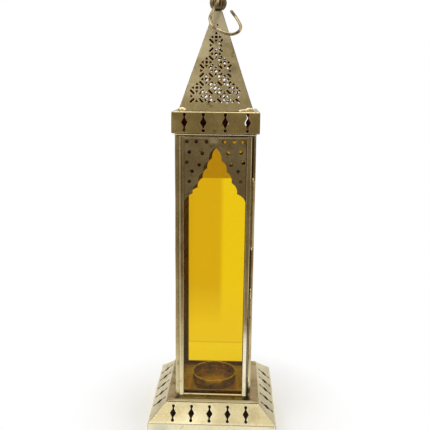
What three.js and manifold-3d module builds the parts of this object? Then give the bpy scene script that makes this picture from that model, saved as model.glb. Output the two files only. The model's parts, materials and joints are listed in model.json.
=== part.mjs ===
// A tall square candle lantern: antique brass sheet, amber glass, pierced roof, hinged front door.
// Millimetres, +Z up, the door faces -Y, the origin is under the middle of the base.
import * as THREE from "three";
import { mergeVertices } from "three/addons/utils/BufferGeometryUtils.js";
import Module from "manifold-3d";

// Clearance between soldered or touching pieces, and the sheet they are made of
const seam = 0.3;
const bodySheet = 1.0;
const roofSheet = 0.8;
const doorSheet = 0.8;
const archSheet = 0.7;

// Base: four folded side sheets, each a hem, an upright plinth and a slope, under a flat platform
const plinthHeight = 16;
const slopeHeight = 16;
const slopeRun = 16.6;
const hemWidth = 8;
const platformMargin = 8.85;

// Punched cut-out shared by the base and the cornice: a diamond between two round holes
const diamondHalfWidth = 2.65;
const diamondHalfHeight = 5.3;
const neckHalfWidth = 0.45;
const eyeRadius = 1.25;
const eyeNeck = 0.48;
const punchOvershoot = 0.5;

// Rows of those cut-outs
const baseCutCount = 5;
const baseCutPitch = 17.95;
const baseCutShift = -2.7;
const corniceCutStations = [-28.6, -11.2, 8.9, 29.2];

// Body: angle posts at the corners and framed glass between them
const bodySide = 75;
const bodyHeight = 264;
const postLeg = 7.5;
const sillHeight = 4;
const paneThickness = 2;
const lipOverhang = 0.3;

// Lobed arch: its tip lies below the top of the body on the door, and lower still on the walls
const archTipDrop = 12;
const wallArchDrop = 8.5;
const tipLobeHeight = 12;
const lobeHeight = 10.25;
const cuspHalfWidths = [5.8, 10.6, 15.3, 20.6];
const lobeRise = 1.9;
const lobeSegments = 3;
const punchRadius = 1.6;

// Pairs of punched holes, across from the middle and up from the arch's tip
const punchHalfSpan = [7.9, 17.4, 25.9, 11.9, 23.6, 14.6, 26, 21.2, 23.8];
const punchRise = [5.4, 5.4, 5.4, -5.2, -4.2, -15.9, -13.7, -21.9, -31.4];

// Door: a frame of folded channels with its own arch plate and glass, the rails' front lips narrower
const doorInset = 4.1;
const doorBottomGap = 4.7;
const doorTopGap = 0.7;
const channelWidth = 4.2;
const railLip = 1.9;
const doorGlassThickness = 1.5;

// Hinges: rolled barrels on the door, bent wire pins on the post. The upper one is placed by its top, the
// lower one by its foot.
const pinRadius = 0.7;
const barrelWall = 0.5;
const upperBarrel = { belowTop: 42.3, length: 64.3, bareWire: 0.4 };
const lowerBarrel = { aboveFoot: 24.9, length: 82.3, bareWire: 7 };
const footWidth = 2.2;
const footHeight = 2.6;

// Candle cup
const cupRadius = 22.8;
const cupHeight = 10.4;
const cupWall = 0.8;
const cupCorner = 1.6;
const cupSides = 28;

// Cornice: four folded channels with the cut-outs in their webs
const corniceOverhang = 2.8;
const corniceHeight = 20;
const corniceFlange = 9;

// Roof: four pierced sheets that lean in to a small square top
const roofSetBack = 5.8;
const roofTopSide = 7.85;
const roofHeight = 90.4;

// Pierced pattern, a chequer of solid hubs and ringed holes, struck a little left of the middle
const patternFirstRow = 13.8;
const patternShift = -1.1;
const patternPitchAcross = 8.4;
const patternPitchUp = 8.08;
const rowReach = [2, 2, 1, 1, 1, 0, 0, 0];
const ringHoleRadius = 1.1;
const wedgeBase = 2.6;
const wedgeDepth = 2.1;
const wedgeFromRing = 2.85;
const slotLength = 5.2;
const slotWidth = 1.45;
const ventRadius = 0.8;
const ventDrop = 13.4;
const panelMargin = 1.5;

// Finial, ring and hook
const ballRadius = 8;
const ballRibs = 16;
const ballBands = 5;
const ribDepth = 0.9;
const ballFootRadius = 5;
const neckHeight = 1;
const neckShoulder = 0.7;
const collarRadius = 2.8;
const collarStep = 1.3;
const stemLength = 7;
const ringRadius = 11;
const ringWire = 1.2;
const ringSteps = 24;
const shankLength = 6;
const hookWire = 1.05;
const hookEyeSlack = 0.75;
const hookEyeSteps = 12;
const hookSteps = 24;
const wireSides = 8;

// Bends of the hook, across and down from the middle of the ring that it hangs on
const hookBend = [
  [0.3, 17.5],
  [0.2, 22],
  [-4.1, 32.4],
  [-6.9, 41],
  [-4.2, 48.8],
  [3.6, 54.1],
  [12.8, 56.8],
  [19, 54.5],
  [21.3, 49.8],
  [18.4, 42.4],
  [11.9, 32.6],
];

// Widths that follow from the body
const platformSide = bodySide + 2 * platformMargin;
const baseSide = platformSide + 2 * slopeRun;
const doorWidth = bodySide - 2 * doorInset;
const corniceSide = bodySide + 2 * corniceOverhang;
const roofFootSide = corniceSide - 2 * roofSetBack;
const eyeDistance = diamondHalfHeight + eyeNeck + Math.sqrt(eyeRadius ** 2 - neckHalfWidth ** 2);

// Slope of the roof, and the finial's neck that fits its open top
const roofRun = roofFootSide / 2;
const roofPeakHeight = roofHeight / (1 - roofTopSide / roofFootSide);
const roofSlope = Math.hypot(roofRun, roofPeakHeight);
const roofTopDistance = (roofSlope * roofHeight) / roofPeakHeight;
const ventDistance = roofTopDistance - ventDrop;
const roofWall = (roofSheet * roofSlope) / roofPeakHeight;
const stemRadius = roofTopSide / 2 - roofWall - seam;
const neckRadius = stemRadius + neckShoulder;
const ballFootDrop = Math.sqrt(ballRadius ** 2 - ballFootRadius ** 2);
const collarRise = Math.sqrt(ballRadius ** 2 - collarRadius ** 2) + collarStep;

// Heights that follow from the sizes above
const platformTop = plinthHeight + slopeHeight;
const platformUnder = platformTop - bodySheet;
const bodyTop = platformTop + bodyHeight;
const bodyFoot = platformTop + seam;
const topPlateUnder = bodyTop - bodySheet;
const corniceFoot = bodyTop + seam;
const corniceTop = corniceFoot + corniceHeight;
const roofFoot = corniceTop + seam;
const roofTop = roofFoot + roofHeight;
const ballCentre = roofTop + seam + neckHeight + ballFootDrop;
const collarTop = ballCentre + collarRise;
const ringCentre = collarTop + seam + ringWire + ringRadius;
const doorArchTip = bodyTop - archTipDrop;
const wallArchTip = doorArchTip - wallArchDrop;

// Door places that follow
const doorDepth = 2 * doorSheet + archSheet + doorGlassThickness + 3 * seam;
const doorBack = -bodySide / 2 - seam;
const doorFront = doorBack - doorDepth;
const doorBottom = platformTop + doorBottomGap;
const doorTop = topPlateUnder - doorTopGap;
const doorHeight = doorTop - doorBottom;
const topLip = seam + doorDepth + lipOverhang;
const doorMiddle = (doorTop + doorBottom) / 2;
const doorInsetHalf = doorWidth / 2 - doorSheet - seam;
const barrelBore = pinRadius + seam;
const barrelRadius = barrelBore + barrelWall;
const hingeX = doorWidth / 2 + seam + barrelRadius;
const hingeY = doorBack - barrelRadius;

const axisX = new THREE.Vector3(1, 0, 0);
const axisY = new THREE.Vector3(0, 1, 0);
const axisZ = new THREE.Vector3(0, 0, 1);
const sideNames = ["front", "right", "back", "left"];

const wasm = await Module();
wasm.setup();

const antiqueBrass = { color: 0x8a7a4c, roughness: 0.42, metalness: 0.9 };
const darkBrass = { color: 0x4e4630, roughness: 0.5, metalness: 0.85 };
const brightWire = { color: 0xb59a62, roughness: 0.3, metalness: 0.95 };
const amberGlass = { color: 0xe0a800, roughness: 0.05, metalness: 0, transparent: true, opacity: 0.5 };

// Booleans

function toSolid(geometry) {
  const bare = geometry.index ? geometry.toNonIndexed() : geometry.clone();
  bare.deleteAttribute("normal");
  bare.deleteAttribute("uv");
  const merged = mergeVertices(bare, 1e-4);
  return new wasm.Manifold(
    new wasm.Mesh({
      numProp: 3,
      vertProperties: merged.attributes.position.array,
      triVerts: new Uint32Array(merged.index.array),
    }),
  );
}

function toGeometry(solid) {
  const mesh = solid.getMesh();
  const geometry = new THREE.BufferGeometry();
  geometry.setAttribute("position", new THREE.BufferAttribute(mesh.vertProperties, 3));
  geometry.setIndex(new THREE.BufferAttribute(mesh.triVerts, 1));
  return geometry.toNonIndexed();
}

function subtractAll(solid, cutters) {
  return cutters.reduce((rest, cutter) => rest.subtract(cutter), solid);
}

// Extrusions in the directions that sheet work needs

function extrude(outline, depth, curveSegments = 3) {
  return new THREE.ExtrudeGeometry(outline, { depth, bevelEnabled: false, curveSegments });
}

// A folded section drawn in Y and Z, run along X and centred.
function alongX(outline, length) {
  const geometry = extrude(outline, length).translate(0, 0, -length / 2);
  return geometry.applyMatrix4(new THREE.Matrix4().makeBasis(axisY, axisZ, axisX));
}

// A flat plate drawn in X and Z whose front face lies at y = front.
function facingFront(outline, front, thickness, curveSegments) {
  const upright = new THREE.Matrix4().makeBasis(axisX, axisZ, axisY.clone().negate());
  return extrude(outline, thickness, curveSegments)
    .applyMatrix4(upright)
    .translate(0, front + thickness, 0);
}

// A plate drawn in X and up the slope, its outer face on the slope that rises from the foot.
function onSlope(geometry, foot, run, rise) {
  const up = new THREE.Vector3(0, run, rise).normalize();
  const outward = new THREE.Vector3().crossVectors(axisX, up);
  const frame = new THREE.Matrix4().makeBasis(axisX, up, outward).setPosition(foot);
  return geometry.applyMatrix4(frame);
}

// A sheet folded along a line of points, its thickness on the left of the line.
function foldedSheet(line, thickness) {
  const points = line.map(([across, up]) => new THREE.Vector2(across, up));
  const leftOf = (from, to) => {
    const along = to.clone().sub(from).normalize();
    return new THREE.Vector2(-along.y, along.x);
  };
  const last = points.length - 1;
  const inner = points.map((point, i) => {
    const before = leftOf(points[Math.max(i - 1, 0)], points[Math.max(i, 1)]);
    const after = leftOf(points[Math.min(i, last - 1)], points[Math.min(i + 1, last)]);
    const reach = thickness / (1 + before.dot(after));
    return before.add(after).multiplyScalar(reach).add(point);
  });
  return new THREE.Shape([...points, ...inner.reverse()]);
}

// The quarter of the plan that belongs to the front side, set back for the mitred seams.
function frontQuarter(low, high) {
  const reach = baseSide;
  const setBack = (seam / 2) * Math.SQRT2;
  const plan = new THREE.Shape([
    new THREE.Vector2(0, -setBack),
    new THREE.Vector2(-reach, -setBack - reach),
    new THREE.Vector2(reach, -setBack - reach),
  ]);
  return toSolid(extrude(plan, high - low).translate(0, 0, low));
}

function rectangle(halfWidth, low, high) {
  return new THREE.Shape([
    new THREE.Vector2(-halfWidth, low),
    new THREE.Vector2(halfWidth, low),
    new THREE.Vector2(halfWidth, high),
    new THREE.Vector2(-halfWidth, high),
  ]);
}

function rod(radius, low, high, sides = 12) {
  return new THREE.CylinderGeometry(radius, radius, high - low, sides)
    .rotateX(Math.PI / 2)
    .translate(0, 0, (low + high) / 2);
}

// Base

function punchedDiamond() {
  const meet = Math.asin(neckHalfWidth / eyeRadius);
  const quarter = Math.PI / 2;
  const outline = new THREE.Shape();
  outline.moveTo(diamondHalfWidth, 0);
  outline.lineTo(neckHalfWidth, diamondHalfHeight);
  outline.absarc(0, eyeDistance, eyeRadius, meet - quarter, 3 * quarter - meet);
  outline.lineTo(-neckHalfWidth, diamondHalfHeight);
  outline.lineTo(-diamondHalfWidth, 0);
  outline.lineTo(-neckHalfWidth, -diamondHalfHeight);
  outline.absarc(0, -eyeDistance, eyeRadius, meet + quarter, 5 * quarter - meet);
  outline.lineTo(neckHalfWidth, -diamondHalfHeight);
  return outline;
}

// The cutter overshoots the sheet on both faces.
function diamondCutter() {
  const depth = bodySheet + 2 * punchOvershoot;
  return extrude(punchedDiamond(), depth, 2).translate(0, 0, -bodySheet - punchOvershoot);
}

// The slope's upper edge is cut level, so that the platform lies flat on it.
function makeBaseSheet() {
  const half = baseSide / 2;
  const top = platformUnder - seam;
  const rise = top - plinthHeight;
  const spare = (bodySheet / rise) * slopeRun;
  const section = foldedSheet(
    [
      [-half + slopeRun + spare, top + bodySheet],
      [-half, plinthHeight],
      [-half, 0],
      [-half + hemWidth, 0],
    ],
    bodySheet,
  );
  const folded = toSolid(alongX(section, baseSide)).intersect(frontQuarter(0, top));
  const foot = new THREE.Vector3(0, -half, plinthHeight);
  const middle = Math.hypot(slopeRun, rise) / 2;
  const cutters = Array.from({ length: baseCutCount }, (_, i) => {
    const across = (i - (baseCutCount - 1) / 2) * baseCutPitch + baseCutShift;
    return toSolid(onSlope(diamondCutter().translate(across, middle, 0), foot, slopeRun, rise));
  });
  return toGeometry(subtractAll(folded, cutters));
}

function makePlatform() {
  return extrude(rectangle(platformSide / 2, -platformSide / 2, platformSide / 2), bodySheet)
    .translate(0, 0, platformUnder);
}

function makeCandleCup() {
  const inner = cupRadius - cupWall;
  const profile = [
    [0, 0],
    [cupRadius - cupCorner, 0],
    [cupRadius, cupCorner],
    [cupRadius, cupHeight],
    [inner, cupHeight],
    [inner, cupCorner],
    [cupRadius - cupCorner, cupWall],
    [0, cupWall],
  ].map(([radius, height]) => new THREE.Vector2(radius, height));
  return new THREE.LatheGeometry(profile, cupSides).rotateX(Math.PI / 2).translate(0, 0, bodyFoot);
}

// Body

function makePost() {
  const half = bodySide / 2;
  const section = foldedSheet(
    [
      [-half, -half + postLeg],
      [-half, -half],
      [-half + postLeg, -half],
    ],
    bodySheet,
  );
  return extrude(section, topPlateUnder - seam - bodyFoot).translate(0, 0, bodyFoot);
}

// Points of the lobed arch from its left spring over the tip to its right spring.
function archPoints(halfWidth, tip) {
  const cusps = [...cuspHalfWidths, halfWidth].map(
    (width, i) => new THREE.Vector2(width, tip - tipLobeHeight - i * lobeHeight),
  );
  const right = [new THREE.Vector2(0, tip)];
  for (const cusp of cusps) {
    const start = right[right.length - 1];
    const chord = cusp.clone().sub(start);
    const bulge = new THREE.Vector2(-chord.y, chord.x).normalize().multiplyScalar(lobeRise);
    for (let i = 1; i <= lobeSegments; i++) {
      const t = i / lobeSegments;
      const onChord = start.clone().lerp(cusp, t);
      right.push(onChord.addScaledVector(bulge, 4 * t * (1 - t)));
    }
  }
  const left = right.slice(1).map((point) => new THREE.Vector2(-point.x, point.y));
  return [...left.reverse(), ...right];
}

function punchHoles(tip) {
  return punchHalfSpan.flatMap((span, i) =>
    [-span, span].map((across) => {
      const hole = new THREE.Path();
      hole.absarc(across, tip + punchRise[i], punchRadius, 0, 2 * Math.PI, true);
      return hole;
    }),
  );
}

const archPanelFront = -bodySide / 2 + bodySheet + seam;
const archPanelBack = archPanelFront + archSheet;
const paneFront = archPanelBack + seam;
const paneBack = paneFront + paneThickness;

function makeArchPanel() {
  const opening = bodySide / 2 - postLeg;
  const outline = rectangle(-archPanelBack - seam, bodyFoot, topPlateUnder - seam);
  const arch = new THREE.Path();
  const sillTop = bodyFoot + sillHeight;
  arch.setFromPoints([
    new THREE.Vector2(-opening, sillTop),
    ...archPoints(opening, wallArchTip),
    new THREE.Vector2(opening, sillTop),
  ]);
  outline.holes.push(arch, ...punchHoles(wallArchTip));
  return facingFront(outline, archPanelFront, archSheet);
}

function makePane() {
  const outline = rectangle(-paneBack - seam, bodyFoot, topPlateUnder - seam);
  return facingFront(outline, paneFront, paneThickness);
}

function makeTopPlate() {
  const half = bodySide / 2;
  const plan = rectangle(half, -half - topLip, half);
  const throat = corniceSide / 2 - corniceFlange;
  const hole = rectangle(throat, -throat, throat);
  plan.holes.push(new THREE.Path(hole.getPoints()));
  return extrude(plan, bodySheet).translate(0, 0, topPlateUnder);
}

// Door, drawn about its middle: each member lies along the bottom and is turned to its side. The stiles run the
// full height, and the rails stand between them.

function makeDoorMember(length, outerDistance, frontLip) {
  const section = foldedSheet(
    [
      [doorFront, -outerDistance + frontLip],
      [doorFront, -outerDistance],
      [doorBack, -outerDistance],
      [doorBack, -outerDistance + channelWidth],
    ],
    doorSheet,
  );
  return alongX(section, length);
}

function makeDoorArch() {
  const opening = doorWidth / 2 - channelWidth;
  const spring = doorArchTip - tipLobeHeight - cuspHalfWidths.length * lobeHeight;
  const top = doorTop - doorSheet - seam;
  const outline = new THREE.Shape([
    new THREE.Vector2(doorInsetHalf, spring),
    new THREE.Vector2(doorInsetHalf, top),
    new THREE.Vector2(-doorInsetHalf, top),
    new THREE.Vector2(-doorInsetHalf, spring),
    ...archPoints(opening, doorArchTip),
  ]);
  outline.holes.push(...punchHoles(doorArchTip));
  return facingFront(outline, doorFront + doorSheet + seam, archSheet);
}

function makeDoorGlass() {
  const outline = rectangle(doorInsetHalf, doorBottom + doorSheet + seam, doorTop - doorSheet - seam);
  const front = doorFront + doorSheet + archSheet + 2 * seam;
  return facingFront(outline, front, doorGlassThickness);
}

// Hinges

function barrelSpan(barrel) {
  const low = barrel.belowTop ? bodyTop - barrel.belowTop - barrel.length : platformTop + barrel.aboveFoot;
  return [low, low + barrel.length];
}

function makeBarrel(barrel) {
  const [low, high] = barrelSpan(barrel);
  const leafDepth = hingeY - doorFront - seam;
  const leaf = new THREE.BoxGeometry(barrelWall, leafDepth, barrel.length)
    .translate(doorWidth / 2 + seam + barrelWall / 2, hingeY - leafDepth / 2, (low + high) / 2);
  const roll = rod(barrelRadius, low, high).translate(hingeX, hingeY, 0);
  const bore = rod(barrelBore, low - seam, high + seam).translate(hingeX, hingeY, 0);
  return toGeometry(toSolid(roll).add(toSolid(leaf)).subtract(toSolid(bore)));
}

// The wire runs through the barrel and is soldered to the post by a foot at each end.
function makePin(barrel) {
  const tail = barrel.bareWire + footHeight;
  const [barrelLow, barrelHigh] = barrelSpan(barrel);
  const low = barrelLow - tail;
  const high = barrelHigh + tail;
  const wire = toSolid(rod(pinRadius, low, high, 10).translate(hingeX, hingeY, 0));
  const footDepth = -bodySide / 2 - seam - hingeY;
  const feet = [low + footHeight / 2, high - footHeight / 2].map((height) =>
    toSolid(
      new THREE.BoxGeometry(footWidth, footDepth, footHeight)
        .translate(hingeX, hingeY + footDepth / 2, height),
    ),
  );
  return toGeometry(wire.add(feet[0]).add(feet[1]));
}

// Cornice

function makeCorniceStrip() {
  const half = corniceSide / 2;
  const section = foldedSheet(
    [
      [-half + corniceFlange, corniceTop],
      [-half, corniceTop],
      [-half, corniceFoot],
      [-half + corniceFlange, corniceFoot],
    ],
    bodySheet,
  );
  const strip = toSolid(alongX(section, corniceSide)).intersect(frontQuarter(corniceFoot, corniceTop));
  const foot = new THREE.Vector3(0, -half, (corniceFoot + corniceTop) / 2);
  const cutters = corniceCutStations.map((across) =>
    toSolid(onSlope(diamondCutter().translate(across, 0, 0), foot, 0, 1)),
  );
  return toGeometry(subtractAll(strip, cutters));
}

// Roof

function roofHalfWidth(distance) {
  return roofRun * (1 - distance / roofSlope);
}

function polygonHole(points) {
  return new THREE.Path(points.map(([x, y]) => new THREE.Vector2(x, y)));
}

// A wedge hole between a hub and a ring: its flat side faces the ring, its point faces the hub.
function wedgeHole(ringAt, towardsHub) {
  const base = ringAt.clone().addScaledVector(towardsHub, wedgeFromRing);
  const point = base.clone().addScaledVector(towardsHub, wedgeDepth);
  const side = new THREE.Vector2(-towardsHub.y, towardsHub.x).multiplyScalar(wedgeBase / 2);
  return polygonHole([
    [base.x + side.x, base.y + side.y],
    [base.x - side.x, base.y - side.y],
    [point.x, point.y],
  ]);
}

function slotHole(centre, along) {
  const end = along.clone().multiplyScalar(slotLength / 2);
  const side = new THREE.Vector2(-along.y, along.x).multiplyScalar(slotWidth / 2);
  return polygonHole([
    [centre.x + end.x + side.x, centre.y + end.y + side.y],
    [centre.x - end.x + side.x, centre.y - end.y + side.y],
    [centre.x - end.x - side.x, centre.y - end.y - side.y],
    [centre.x + end.x - side.x, centre.y + end.y - side.y],
  ]);
}

function roundHole(centre, radius) {
  const hole = new THREE.Path();
  hole.absarc(centre.x, centre.y, radius, 0, 2 * Math.PI, true);
  return hole;
}

// Where row and column sum to an even number the node is a hub, otherwise a ring.
function patternHoles() {
  const holes = new Map();
  const place = (row, column) =>
    new THREE.Vector2(
      patternShift + column * patternPitchAcross,
      patternFirstRow + row * patternPitchUp,
    );
  const isHub = (row, column) => (row + column) % 2 === 0;
  const highest = ventDistance - ventRadius - panelMargin;
  const keep = (row, column, hole) => {
    const inside = hole
      .getPoints(1)
      .every((p) => p.y < highest && Math.abs(p.x) < roofHalfWidth(p.y) - panelMargin);
    if (inside) holes.set(`${row},${column}`, hole);
  };
  rowReach.forEach((reach, row) => {
    for (let column = -reach; column <= reach; column++) {
      const centre = place(row, column);
      const hub = isHub(row, column);
      if (!hub) keep(row, column, roundHole(centre, ringHoleRadius));
      for (const [up, across] of [[1, 0], [-1, 0], [0, 1], [0, -1]]) {
        const ringAt = hub ? place(row + up, column + across) : centre;
        const sign = hub ? -1 : 1;
        const towardsHub = new THREE.Vector2(across, up).multiplyScalar(sign);
        keep(row + up / 2, column + across / 2, wedgeHole(ringAt, towardsHub));
      }
      if (!hub) continue;
      for (const [up, across] of [[1, 1], [1, -1], [-1, 1], [-1, -1]]) {
        const middle = place(row + up / 2, column + across / 2);
        const along = middle.clone().sub(centre).normalize();
        keep(row + up / 2, column + across / 2, slotHole(middle, along));
      }
    }
  });
  return [...holes.values()];
}

function makeRoofPanel() {
  const overlap = roofSheet;
  const topDistance = roofTopDistance + overlap;
  const outline = new THREE.Shape([
    new THREE.Vector2(-roofHalfWidth(-overlap), -overlap),
    new THREE.Vector2(roofHalfWidth(-overlap), -overlap),
    new THREE.Vector2(roofHalfWidth(topDistance), topDistance),
    new THREE.Vector2(-roofHalfWidth(topDistance), topDistance),
  ]);
  outline.holes.push(...patternHoles(), roundHole(new THREE.Vector2(0, ventDistance), ventRadius));
  const flat = extrude(outline, roofSheet).translate(0, 0, -roofSheet);
  const foot = new THREE.Vector3(0, -roofRun, roofFoot);
  const panel = toSolid(onSlope(flat, foot, roofRun, roofPeakHeight));
  return toGeometry(panel.intersect(frontQuarter(roofFoot, roofTop)));
}

// Finial, ring and hook

// Rings of points, each with a radius, a height and how deep its flutes are, closed by a cap at each end.
function ribbedTurning(rings) {
  const around = 2 * ballRibs;
  const positions = [];
  const corner = ([radius, height, flute], i) => {
    const angle = (i / around) * 2 * Math.PI;
    const reach = radius - (i % 2) * flute;
    return [reach * Math.cos(angle), reach * Math.sin(angle), height];
  };
  const first = rings[0];
  const last = rings[rings.length - 1];
  for (let i = 0; i < around; i++) {
    for (let k = 0; k + 1 < rings.length; k++) {
      const a = corner(rings[k], i);
      const b = corner(rings[k], (i + 1) % around);
      const c = corner(rings[k + 1], (i + 1) % around);
      const d = corner(rings[k + 1], i);
      positions.push(...a, ...b, ...c, ...a, ...c, ...d);
    }
    positions.push(0, 0, first[1], ...corner(first, (i + 1) % around), ...corner(first, i));
    positions.push(0, 0, last[1], ...corner(last, i), ...corner(last, (i + 1) % around));
  }
  const geometry = new THREE.BufferGeometry();
  geometry.setAttribute("position", new THREE.Float32BufferAttribute(positions, 3));
  return geometry;
}

function makeFinial() {
  const lowest = -Math.asin(ballFootDrop / ballRadius);
  const highest = Math.acos(collarRadius / ballRadius);
  const ball = Array.from({ length: ballBands + 1 }, (_, i) => {
    const angle = lowest + ((highest - lowest) * i) / ballBands;
    const radius = ballRadius * Math.cos(angle);
    return [radius, ballCentre + ballRadius * Math.sin(angle), (ribDepth * radius) / ballRadius];
  });
  const rings = [
    [stemRadius, roofTop + seam - stemLength, 0],
    [stemRadius, roofTop + seam, 0],
    [neckRadius, roofTop + seam, 0],
    [neckRadius, ballCentre - ballFootDrop, 0],
    ...ball,
    [collarRadius, collarTop, 0],
  ];
  const bore = rod(ringWire + seam, collarTop - shankLength - seam, collarTop + seam);
  return toGeometry(toSolid(ribbedTurning(rings)).subtract(toSolid(bore)));
}

function makeRing() {
  const loop = new THREE.TorusGeometry(ringRadius, ringWire, wireSides, ringSteps)
    .rotateY(Math.PI / 2)
    .translate(0, 0, ringCentre);
  const shank = rod(ringWire, collarTop - shankLength, ringCentre - ringRadius, wireSides);
  return toGeometry(toSolid(loop).add(toSolid(shank)));
}

// The hook is drawn hanging straight down from the middle of the ring, then leant against the ball.
const hookEyeRadius = ringWire + hookWire + hookEyeSlack;
const hookEyeTop = ringRadius - ringWire - hookWire - seam;
const hookEyeCentre = hookEyeTop + hookEyeRadius;
const hookLean = Math.asin((ballRadius + hookWire + seam) / (ringCentre - ballCentre));

function makeHook() {
  const eye = new THREE.TorusGeometry(hookEyeRadius, hookWire, wireSides, hookEyeSteps)
    .rotateX(Math.PI / 2)
    .translate(0, 0, -hookEyeCentre);
  const eyeBottom = new THREE.Vector3(0, 0, -hookEyeCentre - hookEyeRadius);
  const path = new THREE.CatmullRomCurve3([
    eyeBottom,
    ...hookBend.map(([across, down]) => new THREE.Vector3(across, 0, -down)),
  ]);
  const section = new THREE.Shape();
  section.absarc(0, 0, hookWire, 0, 2 * Math.PI);
  const wire = new THREE.ExtrudeGeometry(section, {
    steps: hookSteps,
    curveSegments: wireSides / 2,
    bevelEnabled: false,
    extrudePath: path,
  });
  return toGeometry(toSolid(eye).add(toSolid(wire)));
}

// Assembly

const lantern = new THREE.Group();
lantern.name = "lantern";

function add(name, geometry, finish, parent = lantern) {
  const mesh = new THREE.Mesh(geometry, new THREE.MeshStandardMaterial(finish));
  mesh.name = name;
  parent.add(mesh);
  return mesh;
}

function addAround(prefix, geometry, finish, names = sideNames) {
  sideNames.forEach((side, i) => {
    if (names.includes(side)) add(`${prefix}_${side}`, geometry, finish).rotation.z = (i * Math.PI) / 2;
  });
}

addAround("base_sheet", makeBaseSheet(), antiqueBrass);
add("platform", makePlatform(), antiqueBrass);
add("candle_cup", makeCandleCup(), darkBrass);

const post = makePost();
["front_left", "front_right", "back_right", "back_left"].forEach((corner, i) => {
  add(`post_${corner}`, post, antiqueBrass).rotation.z = (i * Math.PI) / 2;
});
const fixedSides = ["right", "back", "left"];
addAround("arch_panel", makeArchPanel(), antiqueBrass, fixedSides);
addAround("pane", makePane(), amberGlass, fixedSides);
add("top_plate", makeTopPlate(), antiqueBrass);

const door = new THREE.Group();
door.position.z = doorMiddle;
lantern.add(door);
const rail = makeDoorMember(doorWidth - 2 * channelWidth - 2 * seam, doorHeight / 2, railLip);
const stile = makeDoorMember(doorHeight, doorWidth / 2, channelWidth);
add("door_rail_bottom", rail, antiqueBrass, door);
add("door_rail_top", rail, antiqueBrass, door).rotation.y = Math.PI;
add("door_stile_left", stile, antiqueBrass, door).rotation.y = Math.PI / 2;
add("door_stile_right", stile, antiqueBrass, door).rotation.y = -Math.PI / 2;
add("door_arch", makeDoorArch(), antiqueBrass);
add("door_glass", makeDoorGlass(), amberGlass);

add("hinge_barrel_upper", makeBarrel(upperBarrel), antiqueBrass);
add("hinge_barrel_lower", makeBarrel(lowerBarrel), antiqueBrass);
add("hinge_pin_upper", makePin(upperBarrel), brightWire);
add("hinge_pin_lower", makePin(lowerBarrel), brightWire);

addAround("cornice", makeCorniceStrip(), antiqueBrass);
addAround("roof_panel", makeRoofPanel(), antiqueBrass);
add("finial", makeFinial(), darkBrass);
add("finial_ring", makeRing(), brightWire);

const hook = add("hanging_hook", makeHook(), brightWire);
hook.position.z = ringCentre;
hook.rotation.x = -hookLean;

export default lantern;
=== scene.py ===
import json
import math
import bpy
import numpy as np
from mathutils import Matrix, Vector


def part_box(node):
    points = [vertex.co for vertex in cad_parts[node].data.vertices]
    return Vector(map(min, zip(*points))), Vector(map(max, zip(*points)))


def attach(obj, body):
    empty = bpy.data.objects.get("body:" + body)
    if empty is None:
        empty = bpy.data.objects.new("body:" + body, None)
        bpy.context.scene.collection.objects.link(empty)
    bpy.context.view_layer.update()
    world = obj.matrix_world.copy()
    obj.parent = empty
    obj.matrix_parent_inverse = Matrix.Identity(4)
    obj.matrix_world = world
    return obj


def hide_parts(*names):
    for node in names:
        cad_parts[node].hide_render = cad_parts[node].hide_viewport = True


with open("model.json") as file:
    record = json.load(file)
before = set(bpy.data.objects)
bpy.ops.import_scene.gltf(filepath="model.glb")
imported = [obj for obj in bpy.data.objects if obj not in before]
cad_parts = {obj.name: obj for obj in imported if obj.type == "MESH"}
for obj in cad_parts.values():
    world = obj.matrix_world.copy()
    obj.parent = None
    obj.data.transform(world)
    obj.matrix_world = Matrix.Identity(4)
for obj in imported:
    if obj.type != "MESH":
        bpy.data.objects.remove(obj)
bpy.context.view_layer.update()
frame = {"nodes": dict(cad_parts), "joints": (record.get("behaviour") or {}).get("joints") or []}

# A square Moroccan candle lantern in aged brass sheet and amber glass, dressed over its construction model.
# Lengths are millimetres until a mesh, lamp or camera is made.
mm = 0.001
print("lantern: frame loaded,", len(frame["nodes"]), "construction nodes")


# A construction node's lowest and highest corner, in millimetres.
def boxOf(node):
    low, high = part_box(node)
    return np.array(low) / mm, np.array(high) / mm


# Camera at the photograph's place, fitted to the edges of base, body, cornice and roof

cameraView = {
    "place": (18.0, -594.4, 342.1),
    "yaw": 1.636,            # degrees, to the left
    "pitch": 12.62,          # degrees, down
    "roll": 0.645,           # degrees
    "focalPixels": 605.3,
    "centrePixel": (216.9, 218.1),
    "framePixels": 430,
    "sensor": 36,
    "clipStart": 0.01,       # metres
}


# Turns the camera by yaw and pitch, rolls it about its own line of sight, and shifts the lens so that the
# picture's centre falls on its pixel.
def placeCamera(view):
    yaw, pitch, roll = (math.radians(view[key]) for key in ("yaw", "pitch", "roll"))
    ahead = np.array([-math.sin(yaw) * math.cos(pitch), math.cos(yaw) * math.cos(pitch), -math.sin(pitch)])
    level = np.array([math.cos(yaw), math.sin(yaw), 0])
    above = np.cross(level, ahead)
    right = math.cos(roll) * level + math.sin(roll) * above
    up = np.cross(right, ahead)
    camera = bpy.data.objects.new("camera", bpy.data.cameras.new("camera"))
    bpy.context.scene.collection.objects.link(camera)
    turn = np.eye(4)
    turn[:3, 0], turn[:3, 1], turn[:3, 2] = right, up, -ahead
    turn[:3, 3] = np.array(view["place"]) * mm
    camera.matrix_world = turn.T.tolist()
    pixels = view["framePixels"]
    camera.data.sensor_width = view["sensor"]
    camera.data.lens = view["focalPixels"] / pixels * view["sensor"]
    camera.data.shift_x = (pixels / 2 - view["centrePixel"][0]) / pixels
    camera.data.shift_y = (view["centrePixel"][1] - pixels / 2) / pixels
    camera.data.clip_start = view["clipStart"]
    bpy.context.scene.camera = camera


placeCamera(cameraView)
print("lantern: camera placed")


# Mesh tools: whole arrays of points, turned into one mesh for each piece

sharpAngle = 50  # degrees between two faces, past which their edge stays sharp
farFromEdge = 5  # millimetres in from an edge, past which the distance makes no difference


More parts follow.
